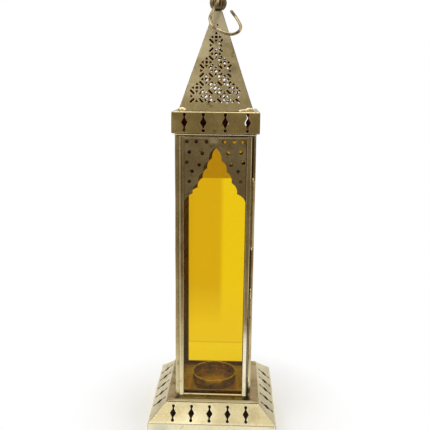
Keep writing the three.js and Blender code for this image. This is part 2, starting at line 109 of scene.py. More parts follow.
# A part is its points, its triangles, and two marks for each point: millimetres in from the nearest cut
# edge, and 0 on the outer face to 1 on the inner one.
def addPiece(name, part, body, material, replaced=()):
    points, triangles, marks = part
    mesh = bpy.data.meshes.new(name)
    mesh.vertices.add(len(points))
    mesh.vertices.foreach_set("co", (points * mm).ravel())
    mesh.loops.add(triangles.size)
    mesh.loops.foreach_set("vertex_index", triangles.ravel())
    mesh.polygons.add(len(triangles))
    mesh.polygons.foreach_set("loop_start", np.arange(0, triangles.size, 3))
    mesh.polygons.foreach_set("use_smooth", np.ones(len(triangles), bool))
    mesh.update(calc_edges=True)
    mesh.set_sharp_from_angle(angle=math.radians(sharpAngle))
    for column, label in enumerate(("toEdge", "innerFace")):
        values = marks[:, column].astype(np.float32)
        mesh.attributes.new(label, "FLOAT", "POINT").data.foreach_set("value", values)
    mesh.materials.append(material)
    piece = bpy.data.objects.new(name, mesh)
    bpy.context.scene.collection.objects.link(piece)
    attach(piece, body)
    if replaced:
        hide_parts(*replaced)


# Several parts as one: their arrays end to end, each part's triangles counted on from the points before it.
def joinParts(parts):
    starts = np.cumsum([0] + [len(points) for points, _, _ in parts[:-1]])
    return (
        np.concatenate([points for points, _, _ in parts]),
        np.concatenate([triangles + start for (_, triangles, _), start in zip(parts, starts)]),
        np.concatenate([marks for _, _, marks in parts]),
    )


# A part turned about the upright axis: with c and s the turn's cosine and sine, (x, y) goes to
# (cx - sy, sx + cy).
def quarterTurn(part, turns):
    points, triangles, marks = part
    c, s = [(1, 0), (0, 1), (-1, 0), (0, -1)][turns % 4]
    x, y, z = points.T
    return np.stack([c * x - s * y, s * x + c * y, z], 1), triangles, marks


# Lines at even steps between marks, so that edges and folds fall on a line of the grid.
def gridLines(marks, steps):
    steps = np.broadcast_to(steps, len(marks) - 1)
    runs = [
        np.linspace(low, high, int(np.ceil((high - low) / step)) + 1)
        for low, high, step in zip(marks[:-1], marks[1:], steps)
        if high - low > 1e-6
    ]
    return np.unique(np.concatenate(runs).round(6))


# Unit vector in which the distance field rises fastest, by small steps to each side.
def slopeOf(field, p, reach=0.02):
    across = field(p + [reach, 0]) - field(p - [reach, 0])
    along = field(p + [0, reach]) - field(p - [0, reach])
    steep = np.stack([across, along], 1)
    return steep / np.maximum(np.hypot(across, along), 1e-9)[:, None]


# Share of a grid's step within which a point is drawn onto the edge, and the finest step that counts in it
sheetGrid = {"snap": 0.3, "leastStep": 0.05}


# A sheet cut from a grid in its flat plan. metal(p) is the distance in from the nearest cut edge. The grid
# is clipped where that equals the rim's radius, both faces are laid on the surface, and a rounded rim joins
# them: a quarter circle from each face, out along the distance's slope.
def cutSheet(uLines, vLines, metal, surface, thickness, rim, rimSteps=3):
    p = np.stack(np.meshgrid(uLines, vLines, indexing="ij"), -1).reshape(-1, 2)
    index = np.arange(len(p)).reshape(len(uLines), len(vLines))
    a, b, c, d = (index[:-1, :-1], index[1:, :-1], index[1:, 1:], index[:-1, 1:])
    triangles = np.concatenate([np.stack(t, -1).reshape(-1, 3) for t in ((a, b, c), (a, c, d))])
    value = metal(p) - rim  # positive on the flat faces, zero where the rim begins
    vSteps = np.diff(vLines)
    snap = sheetGrid["snap"] * min(np.diff(uLines).max(), vSteps[vSteps > sheetGrid["leastStep"]].min())
    near = np.abs(value) < snap
    p[near] -= value[near, None] * slopeOf(metal, p[near])
    value[near] = 0

    # A triangle's side that crosses the border gets a corner there, and what lies outside is left off
    side = np.sign(value)[triangles]
    following = triangles[:, [1, 2, 0]]
    crossing = side * side[:, [1, 2, 0]] < 0
    key = np.minimum(triangles, following) * len(p) + np.maximum(triangles, following)
    used, inverse = np.unique(key[crossing], return_inverse=True)
    crossed = np.zeros_like(key)
    crossed[crossing] = len(p) + inverse
    low, high = used // len(p), used % len(p)
    share = (value[low] / (value[low] - value[high]))[:, None]
    cut = p[low] + share * (p[high] - p[low])
    cut -= (metal(cut) - rim)[:, None] * slopeOf(metal, cut)
    p = np.concatenate([p, cut])
    slots = np.stack([triangles, crossed], -1).reshape(-1, 6)
    held = np.stack([side >= 0, crossing], -1).reshape(-1, 6)
    slots = np.take_along_axis(slots, np.argsort(~held, axis=1, kind="stable"), 1)
    corners = held.sum(1) * (side > 0).any(1)
    triangles = np.concatenate([slots[corners >= 3][:, [0, 1, 2]], slots[corners == 4][:, [0, 2, 3]]])

    # The border is the edges without a twin, and the rings of the rim run outwards from it
    kept, triangles = np.unique(triangles, return_inverse=True)
    p, triangles = p[kept], triangles.reshape(-1, 3)
    count = len(p)
    edges = np.concatenate([triangles[:, [0, 1]], triangles[:, [1, 2]], triangles[:, [2, 0]]])
    border = edges[~np.isin(edges[:, 0] * count + edges[:, 1], edges[:, 1] * count + edges[:, 0])]
    rimPoints, border = np.unique(border, return_inverse=True)
    border = border.reshape(-1, 2)
    outward = -slopeOf(metal, p[rimPoints])
    angle = np.linspace(0, math.pi / 2, rimSteps + 1)
    reach = rim * np.sin(angle)
    depth = rim * (1 - np.cos(angle))
    reach = np.concatenate([reach, reach[::-1]])
    depth = np.concatenate([depth, thickness - depth[::-1]])
    rings = [surface(p[rimPoints] + r * outward, z) for r, z in zip(reach[1:-1], depth[1:-1])]
    points = np.concatenate([surface(p, 0), surface(p, thickness), *rings])
    ringIds = [rimPoints]
    ringIds += [2 * count + k * len(rimPoints) + np.arange(len(rimPoints)) for k in range(len(rings))]
    ringIds += [count + rimPoints]

    # Two triangles for each edge of the border, from each ring to the next
    walls = []
    for upper, lower in zip(ringIds[:-1], ringIds[1:]):
        start, end = border.T
        walls.append(np.stack([upper[end], upper[start], lower[start]], 1))
        walls.append(np.stack([upper[end], lower[start], lower[end]], 1))
    faces = np.concatenate([triangles, (triangles + count)[:, ::-1], *walls])
    toEdge = np.clip(metal(p), 0, farFromEdge)
    deep = np.repeat(depth[1:-1] / thickness, len(rimPoints))
    marks = np.stack([np.concatenate([toEdge, toEdge, 0 * deep]),
                      np.concatenate([np.zeros(count), np.ones(count), deep])], 1)
    return points, faces[:, ::-1], marks


# A line in a section plane through its corners, each bend an arc, with the heading at every station.
def foldLine(corners, bendRadius=1.6, bendSteps=5):
    corners = np.array(corners, float)
    runs = np.diff(corners, axis=0)
    headings = np.unwrap(np.arctan2(runs[:, 1], runs[:, 0]))
    points, angles, bends = [corners[:1]], [headings[:1]], []
    for i in range(1, len(corners) - 1):
        turn = headings[i] - headings[i - 1]
        start = corners[i] - bendRadius * math.tan(abs(turn) / 2) * runs[i - 1] / np.hypot(*runs[i - 1])
        sweep = np.linspace(headings[i - 1], headings[i], bendSteps + 1)
        arc = np.stack([np.sin(sweep) - np.sin(sweep[0]), np.cos(sweep[0]) - np.cos(sweep)], 1)
        points.append(start + math.copysign(bendRadius, turn) * arc)
        angles.append(sweep)
        bends.append(1 + (bendSteps + 1) * (i - 1) + bendSteps // 2)  # the station in the bend's middle
    points = np.concatenate(points + [corners[-1:]])
    along = np.concatenate([[0], np.cumsum(np.hypot(*np.diff(points, axis=0).T))])
    return {"along": along, "points": points, "angles": np.concatenate(angles + [headings[-1:]]),
            "bends": along[bends], "length": along[-1]}


# Where a flat plan lands once it is folded: u runs square to the section and v along its line, the sheet's
# thickness lies left of the line, and the ends follow the mitre, which narrows with depth.
def foldedSurface(line, halfWidth, place, wave):
    def surface(p, depth):
        u, v = p[:, 0], p[:, 1]
        a, b = (np.interp(v, line["along"], line["points"][:, i]) for i in (0, 1))
        heading = np.interp(v, line["along"], line["angles"])
        depth = depth - wave["height"] * np.sin(u / wave["across"] + wave["turn"]) * np.cos(v / wave["along"])
        deepA, deepB = a - np.sin(heading) * depth, b + np.cos(heading) * depth
        return place(u * halfWidth(deepA, deepB) / halfWidth(a, b), deepA, deepB)
    return surface


# Places for a section in the plane of Y and Z, carried along X, and for one in X and Y, carried along Z.
def alongX(u, a, b):
    return np.stack([u, a, b], 1)


def alongZ(u, a, b):
    return np.stack([a, b, u], 1)


# A folded strip with mitred or square ends. holes(p) is the distance to the nearest hole, positive in the
# metal, and the metal's own distance is the least of that and the distances to both sides and both ends.
def foldedSheet(line, halfWidth, holes, thickness, rim, place, step, wave, vLines=None, uLines=None):
    widths = halfWidth(*line["points"].T)
    leans = np.gradient(widths, line["along"])

    def metal(p):
        half = np.interp(p[:, 1], line["along"], widths)
        lean = np.interp(p[:, 1], line["along"], leans)
        sides = (half - np.abs(p[:, 0])) / np.hypot(1, lean)
        ends = np.minimum(p[:, 1], line["length"] - p[:, 1])
        return np.minimum(np.minimum(sides, ends), holes(p))

    if uLines is None:
        widest = widths.max()
        uLines = gridLines([-widest, -widest + rim, widest - rim, widest], step)
    if vLines is None:
        inner = line["along"][1:-1]
        marks = np.unique(np.concatenate([[0, rim], inner, [line["length"] - rim, line["length"]]]))
        vLines = gridLines(marks, step)
    return cutSheet(uLines, vLines, metal, foldedSurface(line, halfWidth, place, wave), thickness, rim)


# In a sheet without holes the nearest one is endlessly far away.
def noHoles(p):
    return np.full(len(p), np.inf)


# How little a hand-worked sheet is out of flat: a sine across by a cosine along, started at its own turn.
def flatWave(turn, height=0.07, across=9.0, along=7.0):
    return {"height": height, "across": across, "along": along, "turn": turn}


# Rows of points round a form, row after row, joined into a closed skin; poles close its two ends.
def skin(rows, poles=None):
    count, around = rows.shape[:2]
    index = np.arange(count * around).reshape(count, around)
    aside = np.roll(index, -1, 1)
    if poles is None:
        index, aside = (np.concatenate([grid, grid[:1]]) for grid in (index, aside))
    a, b, c, d = index[:-1], aside[:-1], aside[1:], index[1:]
    triangles = [np.stack(t, -1).reshape(-1, 3) for t in ((a, b, c), (a, c, d))]
    points = rows.reshape(-1, 3)
    if poles is not None:
        first, last = len(points), len(points) + 1
        points = np.concatenate([points, poles])
        triangles.append(np.stack([aside[0], index[0], np.full(around, first)], 1))
        triangles.append(np.stack([index[-1], aside[-1], np.full(around, last)], 1))
    return points, np.concatenate(triangles), np.tile([farFromEdge, 0.0], (len(points), 1))


# Where the rings of points lie on the rounded end of a wire, as shares of a quarter turn
wireEnd = np.array([0.12, 0.35, 0.6, 0.82])


# A round section carried along a path that lies in one plane, whose normal is the reference: each ring of
# points is the path's point, plus radius by cosine along the side and by sine along the lift. Open ends are
# half balls.
def sweepWire(path, radius, reference, sides=12, closed=False):
    radius = np.broadcast_to(radius, len(path))
    if closed:
        ahead = np.roll(path, -1, 0) - np.roll(path, 1, 0)
    else:
        steep = math.pi / 2 * wireEnd
        first, last = path[1] - path[0], path[-2] - path[-1]
        first, last = first / np.linalg.norm(first), last / np.linalg.norm(last)
        near = path[0] + radius[0] * np.outer(1 - np.cos(steep), first)
        far = (path[-1] + radius[-1] * np.outer(1 - np.cos(steep), last))[::-1]
        poles = np.stack([path[0], path[-1]])
        radius = np.concatenate([radius[0] * np.sin(steep), radius[1:-1], (radius[-1] * np.sin(steep))[::-1]])
        path = np.concatenate([near, path[1:-1], far])
        ahead = np.gradient(path, axis=0)
    ahead = ahead / np.linalg.norm(ahead, axis=1)[:, None]
    side = np.cross(np.broadcast_to(reference, ahead.shape), ahead)
    side /= np.linalg.norm(side, axis=1)[:, None]
    lift = np.cross(ahead, side)
    turn = np.linspace(0, 2 * math.pi, sides, endpoint=False)[None, :, None]
    around = np.cos(turn) * side[:, None] + np.sin(turn) * lift[:, None]
    rows = path[:, None] + radius[:, None, None] * around
    return skin(rows) if closed else skin(rows, poles)


# A smooth curve through the points: a cubic for each run, its ends aimed along the neighbours' chord.
def smoothPath(points, perRun=8):
    points = np.array(points, float)
    gaps = np.sqrt(np.linalg.norm(np.diff(points, axis=0), axis=1))
    knots = np.concatenate([[0], np.cumsum(gaps)])
    slopes = np.gradient(points, knots, axis=0)
    t = np.linspace(0, 1, perRun, endpoint=False)[None, :, None]
    start, end = points[:-1, None], points[1:, None]
    h = gaps[:, None, None]
    runs = ((2 * t**3 - 3 * t**2 + 1) * start + (t**3 - 2 * t**2 + t) * h * slopes[:-1, None]
            + (3 * t**2 - 2 * t**3) * end + (t**3 - t**2) * h * slopes[1:, None])
    return np.concatenate([runs.reshape(-1, points.shape[1]), points[-1:]])


# A turned form: a closed or pole-to-pole profile of radius and height carried round the vertical axis.
def revolve(radius, height, sides, closed=False):
    turn = np.linspace(0, 2 * math.pi, sides, endpoint=False)[None]
    radius = np.asarray(radius, float)
    radius = radius[:, None] if radius.ndim == 1 else radius
    height = np.asarray(height, float)[:, None]
    rows = np.stack([radius * np.cos(turn), radius * np.sin(turn), height + 0 * turn], -1)
    if closed:
        return skin(rows)
    return skin(rows, np.array([[0, 0, height[0, 0]], [0, 0, height[-1, 0]]]))


# A lump of solder: an ellipsoid whose radius swells and sinks a little, round it and over it.
def lump(centre, size, turn, rows=10, sides=16, swellRound=0.14, swellOver=0.1):
    polar = np.linspace(0, math.pi, rows + 2)[1:-1][:, None]
    around = np.linspace(0, 2 * math.pi, sides, endpoint=False)[None]
    swell = 1 + swellRound * np.sin(3 * around + turn) * np.sin(polar)
    swell = swell + swellOver * np.cos(2 * polar + 2 * around + turn)
    x, y = swell * np.sin(polar) * np.cos(around), swell * np.sin(polar) * np.sin(around)
    z = -np.cos(polar) + 0 * around
    poles = centre + np.array([[0, 0, -size[2]], [0, 0, size[2]]])
    return skin(np.stack([x, y, z], -1) * size + centre, poles)


# Materials

# sRGB to linear: divided by 12.92 near black, and above that a power of 2.4.
def hexColour(text):
    srgb = np.array([int(text[i:i + 2], 16) for i in (1, 3, 5)]) / 255
    linear = np.where(srgb <= 0.04045, srgb / 12.92, ((srgb + 0.055) / 1.055) ** 2.4)
    return (*linear.tolist(), 1.0)


# Adds one node, sets its properties, fills or links its inputs by name or number, and gives its outputs.
def addNode(tree, kind, inputs=None, **settings):
    node = tree.nodes.new(kind)
    for key, value in settings.items():
        setattr(node, key, value)
    for key, value in (inputs or {}).items():
        if isinstance(value, bpy.types.NodeSocket):
            tree.links.new(value, node.inputs[key])
        else:
            node.inputs[key].default_value = value
    return node.outputs


def newMaterial(name):
    material = bpy.data.materials.new(name)
    material.use_nodes = True
    material.node_tree.nodes.clear()
    return material, material.node_tree


def perSize(size):
    return 1 / (size * mm)  # noise scale whose features are about this many millimetres


# Rolled brass sheet, tarnished in the air and rubbed bright where hands and files touched it: broad clouds
# of tarnish, small brown stains, fine dents, a lighter band along every cut edge, dirt in the seams, painted
# shade on the walls of the punched holes, and red-brown soot on the inner faces. Spots, levels and lines add
# further tones, many of them painted shade and painted highlights. A pair of values is where a tone starts
# and where it is whole: a noise's value, a share of a spot's reach or of a line's half width, or millimetres
# from a seam or a cut edge. roughSpread is what a finish's roughness gains where it is clean and stained.
agedBrassLook = {
    "noises": {  # millimetres across, detail and roughness; the real grain is finer than it is drawn here
        "clouds": (34, 4, 0.6), "stains": (9, 6, 0.65), "specks": (1.7, 3, 0.6), "dents": (2.4, 2, 0.6),
        "grain": (0.9, 2, 0.6)},
    "tarnished": (0.5, 0.85), "tarnishPull": 0.5, "stained": (0.66, 0.86), "stainPull": 0.3,
    "speckled": (0.62, 0.78), "speckShare": 0.35, "flecked": (0.44, 0.3), "fleckShare": 0.3,
    "spotted": (1.7, 0.8), "lined": (1.5, 0.5), "lineFade": 2, "seamed": (0.9, 0.27),
    "seamStains": (0.35, 0.55), "edgeBand": (0.7, 0.14), "rubStains": (0.3, 0.6), "leastRub": 0.35,
    "soot": "#6c2c18", "sootLow": "#5c3e22", "sootHeights": (70, 130), "cutShade": (0.16, 0.02),
    "sootFaces": (0.5, 0.9), "sootRough": 0.85, "sootMetal": 0.0,
    "metallic": 0.96, "roughSpread": (-0.08, 0.12), "roughStains": (0.3, 0.75), "dentShare": 2,
    "bump": 0.5, "bumpDistance": 0.045,
}


# The colour starts clean, and layers go over it in turn. A layer is a value on the surface, where the layer
# starts and where it is whole, its greatest share and its tone.
def agedBrass(name, clean, tarnish, stain, rubbed, tarnishShare=0.5, stainShare=0.4, roughness=0.34,
              rubbedShare=0.8, metal=agedBrassLook["metallic"], spots=(), levels=(), lines=(), seams=None,
              shadedCuts=0.0):
    look, smooth = agedBrassLook, {"interpolation_type": "SMOOTHSTEP"}
    material, tree = newMaterial(name)
    place = addNode(tree, "ShaderNodeTexCoord")["Object"]
    axes = addNode(tree, "ShaderNodeSeparateXYZ", {0: place})
    toEdge = addNode(tree, "ShaderNodeAttribute", attribute_name="toEdge")["Fac"]
    innerFace = addNode(tree, "ShaderNodeAttribute", attribute_name="innerFace")["Fac"]
    noises = {
        label: addNode(tree, "ShaderNodeTexNoise", {
            "Vector": place, "Scale": perSize(size), "Detail": detail, "Roughness": rough})["Fac"]
        for label, (size, detail, rough) in look["noises"].items()}
    stains = noises["stains"]
    start, whole = np.array(look["tarnished"]) - look["tarnishPull"] * tarnishShare
    layers = [(noises["clouds"], start, whole, 1.0, tarnish)]
    for level in levels:  # another tone between two heights, its border wandering with the clouds
        wander = level["wander"] * mm
        height = addNode(tree, "ShaderNodeMath", {0: noises["clouds"], 1: wander, 2: axes["Z"]},
                         operation="MULTIPLY_ADD")[0]
        layers.append((height, level["from"] * mm + wander / 2, level["to"] * mm + wander / 2,
                       level["share"], level["colour"]))
    start, whole = np.array(look["stained"]) - look["stainPull"] * stainShare
    layers.append((stains, start, whole, 1.0, stain))
    layers.append((noises["specks"], *look["speckled"], look["speckShare"] * stainShare, stain))
    layers.append((noises["specks"], *look["flecked"], look["fleckShare"], rubbed))
    for spot in spots:  # a patch round a point, its border broken up by the stains
        reach = spot["reach"] * mm
        offset = addNode(tree, "ShaderNodeVectorMath", {0: place, 1: [c * mm for c in spot["at"]]},
                         operation="DISTANCE")["Value"]
        ragged = addNode(tree, "ShaderNodeMath", {0: stains, 1: reach, 2: offset},
                         operation="MULTIPLY_ADD")[0]
        start, whole = np.array(look["spotted"]) * reach
        layers.append((ragged, start, whole, spot["share"], spot["colour"]))
    for line in lines:  # a darker or lighter stroke along a seam or a bend, between two places on another axis; most are painted shade and painted highlights
        middle, length = (line["from"] + line["to"]) / 2, (line["to"] - line["from"]) / 2
        offsets = []
        for axis, at in ((line["axis"], line["at"]), (line["along"], middle)):
            away = addNode(tree, "ShaderNodeMath", {0: axes[axis], 1: at * mm}, operation="SUBTRACT")[0]
            offsets.append(addNode(tree, "ShaderNodeMath", {0: away}, operation="ABSOLUTE")[0])
        start, whole = np.array(look["lined"]) * line["half"] * mm
        near = addNode(tree, "ShaderNodeMapRange", {
            "Value": offsets[0], "From Min": start, "From Max": whole, "To Max": line["share"]}, **smooth)[0]
        fade = line.get("fade", look["lineFade"])
        layers.append((offsets[1], (length + fade) * mm, (length - fade) * mm, near, line["colour"]))
    if seams:  # dirt along the mitred corners, where the distances from both middle planes are alike
        sides = [addNode(tree, "ShaderNodeMath", {0: axes[axis]}, operation="ABSOLUTE")[0] for axis in "XY"]
        gap = addNode(tree, "ShaderNodeMath", {0: sides[0], 1: sides[1]}, operation="SUBTRACT")[0]
        gap = addNode(tree, "ShaderNodeMath", {0: gap}, operation="ABSOLUTE")[0]
        start, whole = look["seamStains"]
        dirty = addNode(tree, "ShaderNodeMapRange", {"Value": stains, "From Min": start, "From Max": whole},
                        **smooth)[0]
        start, whole = np.array(look["seamed"]) * mm
        layers.append((gap, start, whole, dirty, seams))
    start, whole = look["rubStains"]
    rub = addNode(tree, "ShaderNodeMapRange", {
        "Value": stains, "From Min": start, "From Max": whole, "To Min": look["leastRub"],
        "To Max": rubbedShare}, **smooth)[0]
    layers.append((toEdge, *look["edgeBand"], rub, rubbed))
    colour = hexColour(clean)
    for value, start, whole, most, tone in layers:
        share = addNode(tree, "ShaderNodeMapRange", {
            "Value": value, "From Min": start, "From Max": whole, "To Max": most}, **smooth)[0]
        colour = addNode(tree, "ShaderNodeMix", {0: share, 6: colour, 7: hexColour(tone)},
                         data_type="RGBA")[2]

    start, whole = look["sootFaces"]
    inner = addNode(tree, "ShaderNodeMapRange", {"Value": innerFace, "From Min": start, "From Max": whole},
                    **smooth)[0]
    if shadedCuts:  # painted shade: the walls of the cut-outs take the inner faces' dark colour too
        start, whole = look["cutShade"]
        cuts = addNode(tree, "ShaderNodeMapRange", {"Value": toEdge, "From Min": start, "From Max": whole,
                                                    "To Max": shadedCuts}, **smooth)[0]
        inner = addNode(tree, "ShaderNodeMath", {0: inner, 1: cuts}, operation="MAXIMUM")[0]
    low, high = look["sootHeights"]
    height = addNode(tree, "ShaderNodeMapRange", {"Value": axes["Z"], "From Min": low * mm,
                                                  "From Max": high * mm}, **smooth)[0]
    soot = addNode(tree, "ShaderNodeMix", {0: height, 6: hexColour(look["sootLow"]),
                                           7: hexColour(look["soot"])}, data_type="RGBA")[2]
    colour = addNode(tree, "ShaderNodeMix", {0: inner, 6: colour, 7: soot}, data_type="RGBA")[2]
    start, whole = look["roughStains"]
    smoothest, roughest = roughness + np.array(look["roughSpread"])
    rough = addNode(tree, "ShaderNodeMapRange", {
        "Value": stains, "From Min": start, "From Max": whole, "To Min": smoothest, "To Max": roughest},
        **smooth)[0]
    rough = addNode(tree, "ShaderNodeMapRange", {"Value": inner, "To Min": rough,
                                                 "To Max": look["sootRough"]}, **smooth)[0]
    metallic = addNode(tree, "ShaderNodeMapRange", {"Value": inner, "To Min": metal,
                                                    "To Max": look["sootMetal"]}, **smooth)[0]
    relief = addNode(tree, "ShaderNodeMath", {0: noises["dents"], 1: look["dentShare"], 2: noises["grain"]},
                     operation="MULTIPLY_ADD")[0]
    bump = addNode(tree, "ShaderNodeBump", {"Height": relief, "Strength": look["bump"],
                                            "Distance": look["bumpDistance"] * mm})[0]
    shader = addNode(tree, "ShaderNodeBsdfPrincipled", {"Base Color": colour, "Metallic": metallic,
                                                        "Roughness": rough, "Normal": bump})[0]
    addNode(tree, "ShaderNodeOutputMaterial", {"Surface": shader})
    return material


# Drawn brass wire and soft solder: smooth metal, bright, with dull patches where a little tarnish lies.
# tarnished and roughened are the noise's values between which that comes in.
smoothMetalLook = {"detail": 4.0, "tarnished": (0.42, 0.66), "roughened": (0.3, 0.7), "roughSpread": 0.2,
                   "bump": 0.5}


def smoothMetal(name, bright, dull, roughness, size, bumpDistance):
    look = smoothMetalLook
    material, tree = newMaterial(name)
    place = addNode(tree, "ShaderNodeTexCoord")["Object"]
    noise = addNode(tree, "ShaderNodeTexNoise", {"Vector": place, "Scale": perSize(size),
                                                 "Detail": look["detail"]})[0]
    start, whole = look["tarnished"]
    share = addNode(tree, "ShaderNodeMapRange", {"Value": noise, "From Min": start, "From Max": whole})[0]
    colour = addNode(tree, "ShaderNodeMix", {0: share, 6: hexColour(bright), 7: hexColour(dull)},
                     data_type="RGBA")[2]
    start, whole = look["roughened"]
    rough = addNode(tree, "ShaderNodeMapRange", {
        "Value": noise, "From Min": start, "From Max": whole, "To Min": roughness,
        "To Max": roughness + look["roughSpread"]})[0]
    bump = addNode(tree, "ShaderNodeBump", {"Height": noise, "Strength": look["bump"],
                                            "Distance": bumpDistance * mm})[0]
    shader = addNode(tree, "ShaderNodeBsdfPrincipled", {"Base Color": colour, "Metallic": 1.0,
                                                        "Roughness": rough, "Normal": bump})[0]
    addNode(tree, "ShaderNodeOutputMaterial", {"Surface": shader})
    return material


# Amber sheet glass: clear, deep yellow, with a slight roll in its surface. A band is a range along an axis
# over which the tint turns to another, and keeps it beyond.
sheetGlassLook = {"rollSize": 38, "rollDetail": 1.0, "roll": 0.25, "bump": 0.3, "ior": 1.3,
                  "roughness": 0.02}


def sheetGlass(name, tint, bands=()):
    look = sheetGlassLook
    material, tree = newMaterial(name)
    place = addNode(tree, "ShaderNodeTexCoord")["Object"]
    roll = addNode(tree, "ShaderNodeTexNoise", {"Vector": place, "Scale": perSize(look["rollSize"]),
                                                "Detail": look["rollDetail"]})[0]
    bump = addNode(tree, "ShaderNodeBump", {"Height": roll, "Strength": look["bump"],
                                            "Distance": look["roll"] * mm})[0]
    axes = addNode(tree, "ShaderNodeSeparateXYZ", {0: place})
    colour = hexColour(tint)
    for band in bands:
        share = addNode(tree, "ShaderNodeMapRange", {
            "Value": axes[band["axis"]], "From Min": band["from"] * mm, "From Max": band["to"] * mm})[0]
        colour = addNode(tree, "ShaderNodeMix", {0: share, 6: colour, 7: hexColour(band["tint"])},
                         data_type="RGBA")[2]
    shader = addNode(tree, "ShaderNodeBsdfPrincipled", {
        "Base Color": colour, "Roughness": look["roughness"], "IOR": look["ior"], "Transmission Weight": 1.0,
        "Normal": bump})[0]
    addNode(tree, "ShaderNodeOutputMaterial", {"Surface": shader})
    return material


# The finishes of the pieces. A spot is a patch round a point, a level another tone between two heights, and
# a line a darker or lighter stroke at one place on an axis, between two places along another. Many of them
# are painted shade and painted highlights, as each finish says.
corniceTop = boxOf("cornice_front")[1][2]
# Painted shade in the narrow gaps between door, posts and arch plates
gapShade = "#2e2012"
lighterLow = {"from": 120, "to": 40, "wander": 30, "share": 0.8, "colour": "#ded0a4"}  # lighter towards the bottom

# On the base the pale band on the plinth is painted light, and the dark inner faces and cut walls are painted
# shade under the base.
baseBrass = agedBrass(
    "agedBrassBasePaintedLight", "#efe2b6", "#cfbf90", "#7d6b42", "#fbf2d0", tarnishShare=0.4, stainShare=0.25,
    roughness=0.3, seams="#4a3820", shadedCuts=0.8,
    levels=[{"from": 18, "to": 15.5, "wander": 0, "share": 0.8, "colour": "#fbf3d2"}],
    spots=[{"at": (-50, -62.9, 9), "reach": 10, "share": 0.5, "colour": "#c4c2b4"},
           {"at": (40, -55, 24), "reach": 9, "share": 0.3, "colour": "#9c8350"}],
    lines=[{"axis": "Z", "at": 16.2, "half": 0.35, "along": "X", "from": -61, "to": 61, "share": 0.6,
            "colour": "#a08a58"}])

# On the platform a darker patch lies round the cup; under the door a painted shadow, with a thin darker line
# and darker corners; in front of it a painted highlight; and beside the cup two painted reflections.
floorBrass = agedBrass(
    "agedBrassPlatformPaintedLight", "#cdbb93", "#ab946a", "#66502e", "#e9dcae", roughness=0.6, metal=0.5,
    spots=[{"at": (0, 4, 32), "reach": 23, "share": 0.7, "colour": "#5a4222"},
           {"at": (34, -40, 32), "reach": 5, "share": 0.95, "colour": "#17140f"},
           {"at": (-36, -40, 32), "reach": 3.6, "share": 0.85, "colour": "#2a241a"}],
    lines=[
        {"axis": "Y", "at": -35.6, "half": 2.6, "along": "X", "from": -36, "to": 37, "share": 0.4,
         "colour": "#2b261a"},
        *({"axis": "X", "at": at, "half": 1.8, "along": "Y", "from": -24, "to": 8, "fade": 8, "share": 0.5,
           "colour": "#e6b860"} for at in (-25.5, 24.5)),
        {"axis": "Y", "at": -44.8, "half": 2.0, "along": "X", "from": -37, "to": 39, "fade": 6, "share": 0.75,
         "colour": "#f6e6ba"},
        {"axis": "Y", "at": -40.6, "half": 0.6, "along": "X", "from": -36, "to": 37, "share": 0.75,
         "colour": "#332c22"}])
hingeBrass = agedBrass(
    "agedBrassHinge", "#c5b286", "#a8925f", "#5c4926", "#e6d8aa", tarnishShare=0.45, stainShare=0.3,
    roughness=0.3, levels=[lighterLow])
# The dark patch high on the right post, the dark foot by the hinge and the dark strokes beside the door's
# stiles are painted shade in the gaps between door and posts.
postBrass = agedBrass(
    "agedBrassPostPaintedShade", "#bdaa7e", "#a18c5f", "#5c4926", "#e6d8aa", tarnishShare=0.45, stainShare=0.3,
    roughness=0.3, levels=[lighterLow],
    spots=[{"at": (36, -37.5, 272), "reach": 20, "share": 0.6, "colour": "#6d5933"},
           {"at": (34.2, -37.5, 40), "reach": 6, "share": 0.95, "colour": "#17140f"}],
    lines=[{"axis": "X", "at": at, "half": half, "along": "Z", "from": 33, "to": 294, "share": share,
            "colour": gapShade} for at, half, share in ((-33.7, 0.5, 0.75), (34.3, 1.1, 0.9))])
# The pale patch low on the right and the pale strokes along both outer edges are painted highlights; the dark
# strokes by the left inner edge and low on the right outer edge are painted shade.
stileBrass = agedBrass(
    "agedBrassStilePaintedLight", "#b5a47a", "#97855c", "#5c4926", "#e6d8aa", tarnishShare=0.45, stainShare=0.3,
    roughness=0.3, levels=[{**lighterLow, "share": 0.85, "colour": "#ece0b6"}],
    spots=[{"at": (31, -42.5, 75), "reach": 36, "share": 0.9, "colour": "#fff8dc"}],
    lines=[{"axis": "X", "at": -32.3, "half": 0.5, "along": "Z", "from": 37, "to": 294, "share": 0.5,
            "colour": "#efe2b4"},
           {"axis": "X", "at": -30.4, "half": 0.7, "along": "Z", "from": 130, "to": 294, "share": 0.5,
            "colour": "#3a2e1a", "fade": 20},
           {"axis": "X", "at": 33.2, "half": 0.4, "along": "Z", "from": 130, "to": 294, "share": 0.5,
            "colour": "#efe2b4"},
           {"axis": "X", "at": 33.0, "half": 0.5, "along": "Z", "from": 37, "to": 120, "share": 0.8,
            "colour": "#5a4726"}])
plateBrass = agedBrass("agedBrassTopPlate", "#efe6cc", "#cfc3a2", "#6b5831", "#f4ebca", tarnishShare=0.3,
                       stainShare=0.2, roughness=0.3)
# The dark strokes at either side, next to the stiles, are painted shade; the pale spot over the door's tip is
# a mark of flux.
archBrass = agedBrass(
    "agedBrassArchPaintedShade", "#b0a37c", "#8d7c58", "#55442a", "#c9b98a", roughness=0.36, rubbedShare=0.25,
    shadedCuts=0.9, spots=[{"at": (-1.5, -41.5, 291), "reach": 5, "share": 0.7, "colour": "#cfc4a2"}],
    lines=[{"axis": "X", "at": side * 28.7, "half": 0.35, "along": "Z", "from": 200, "to": 292, "share": 0.6,
            "colour": gapShade} for side in (-1, 1)])
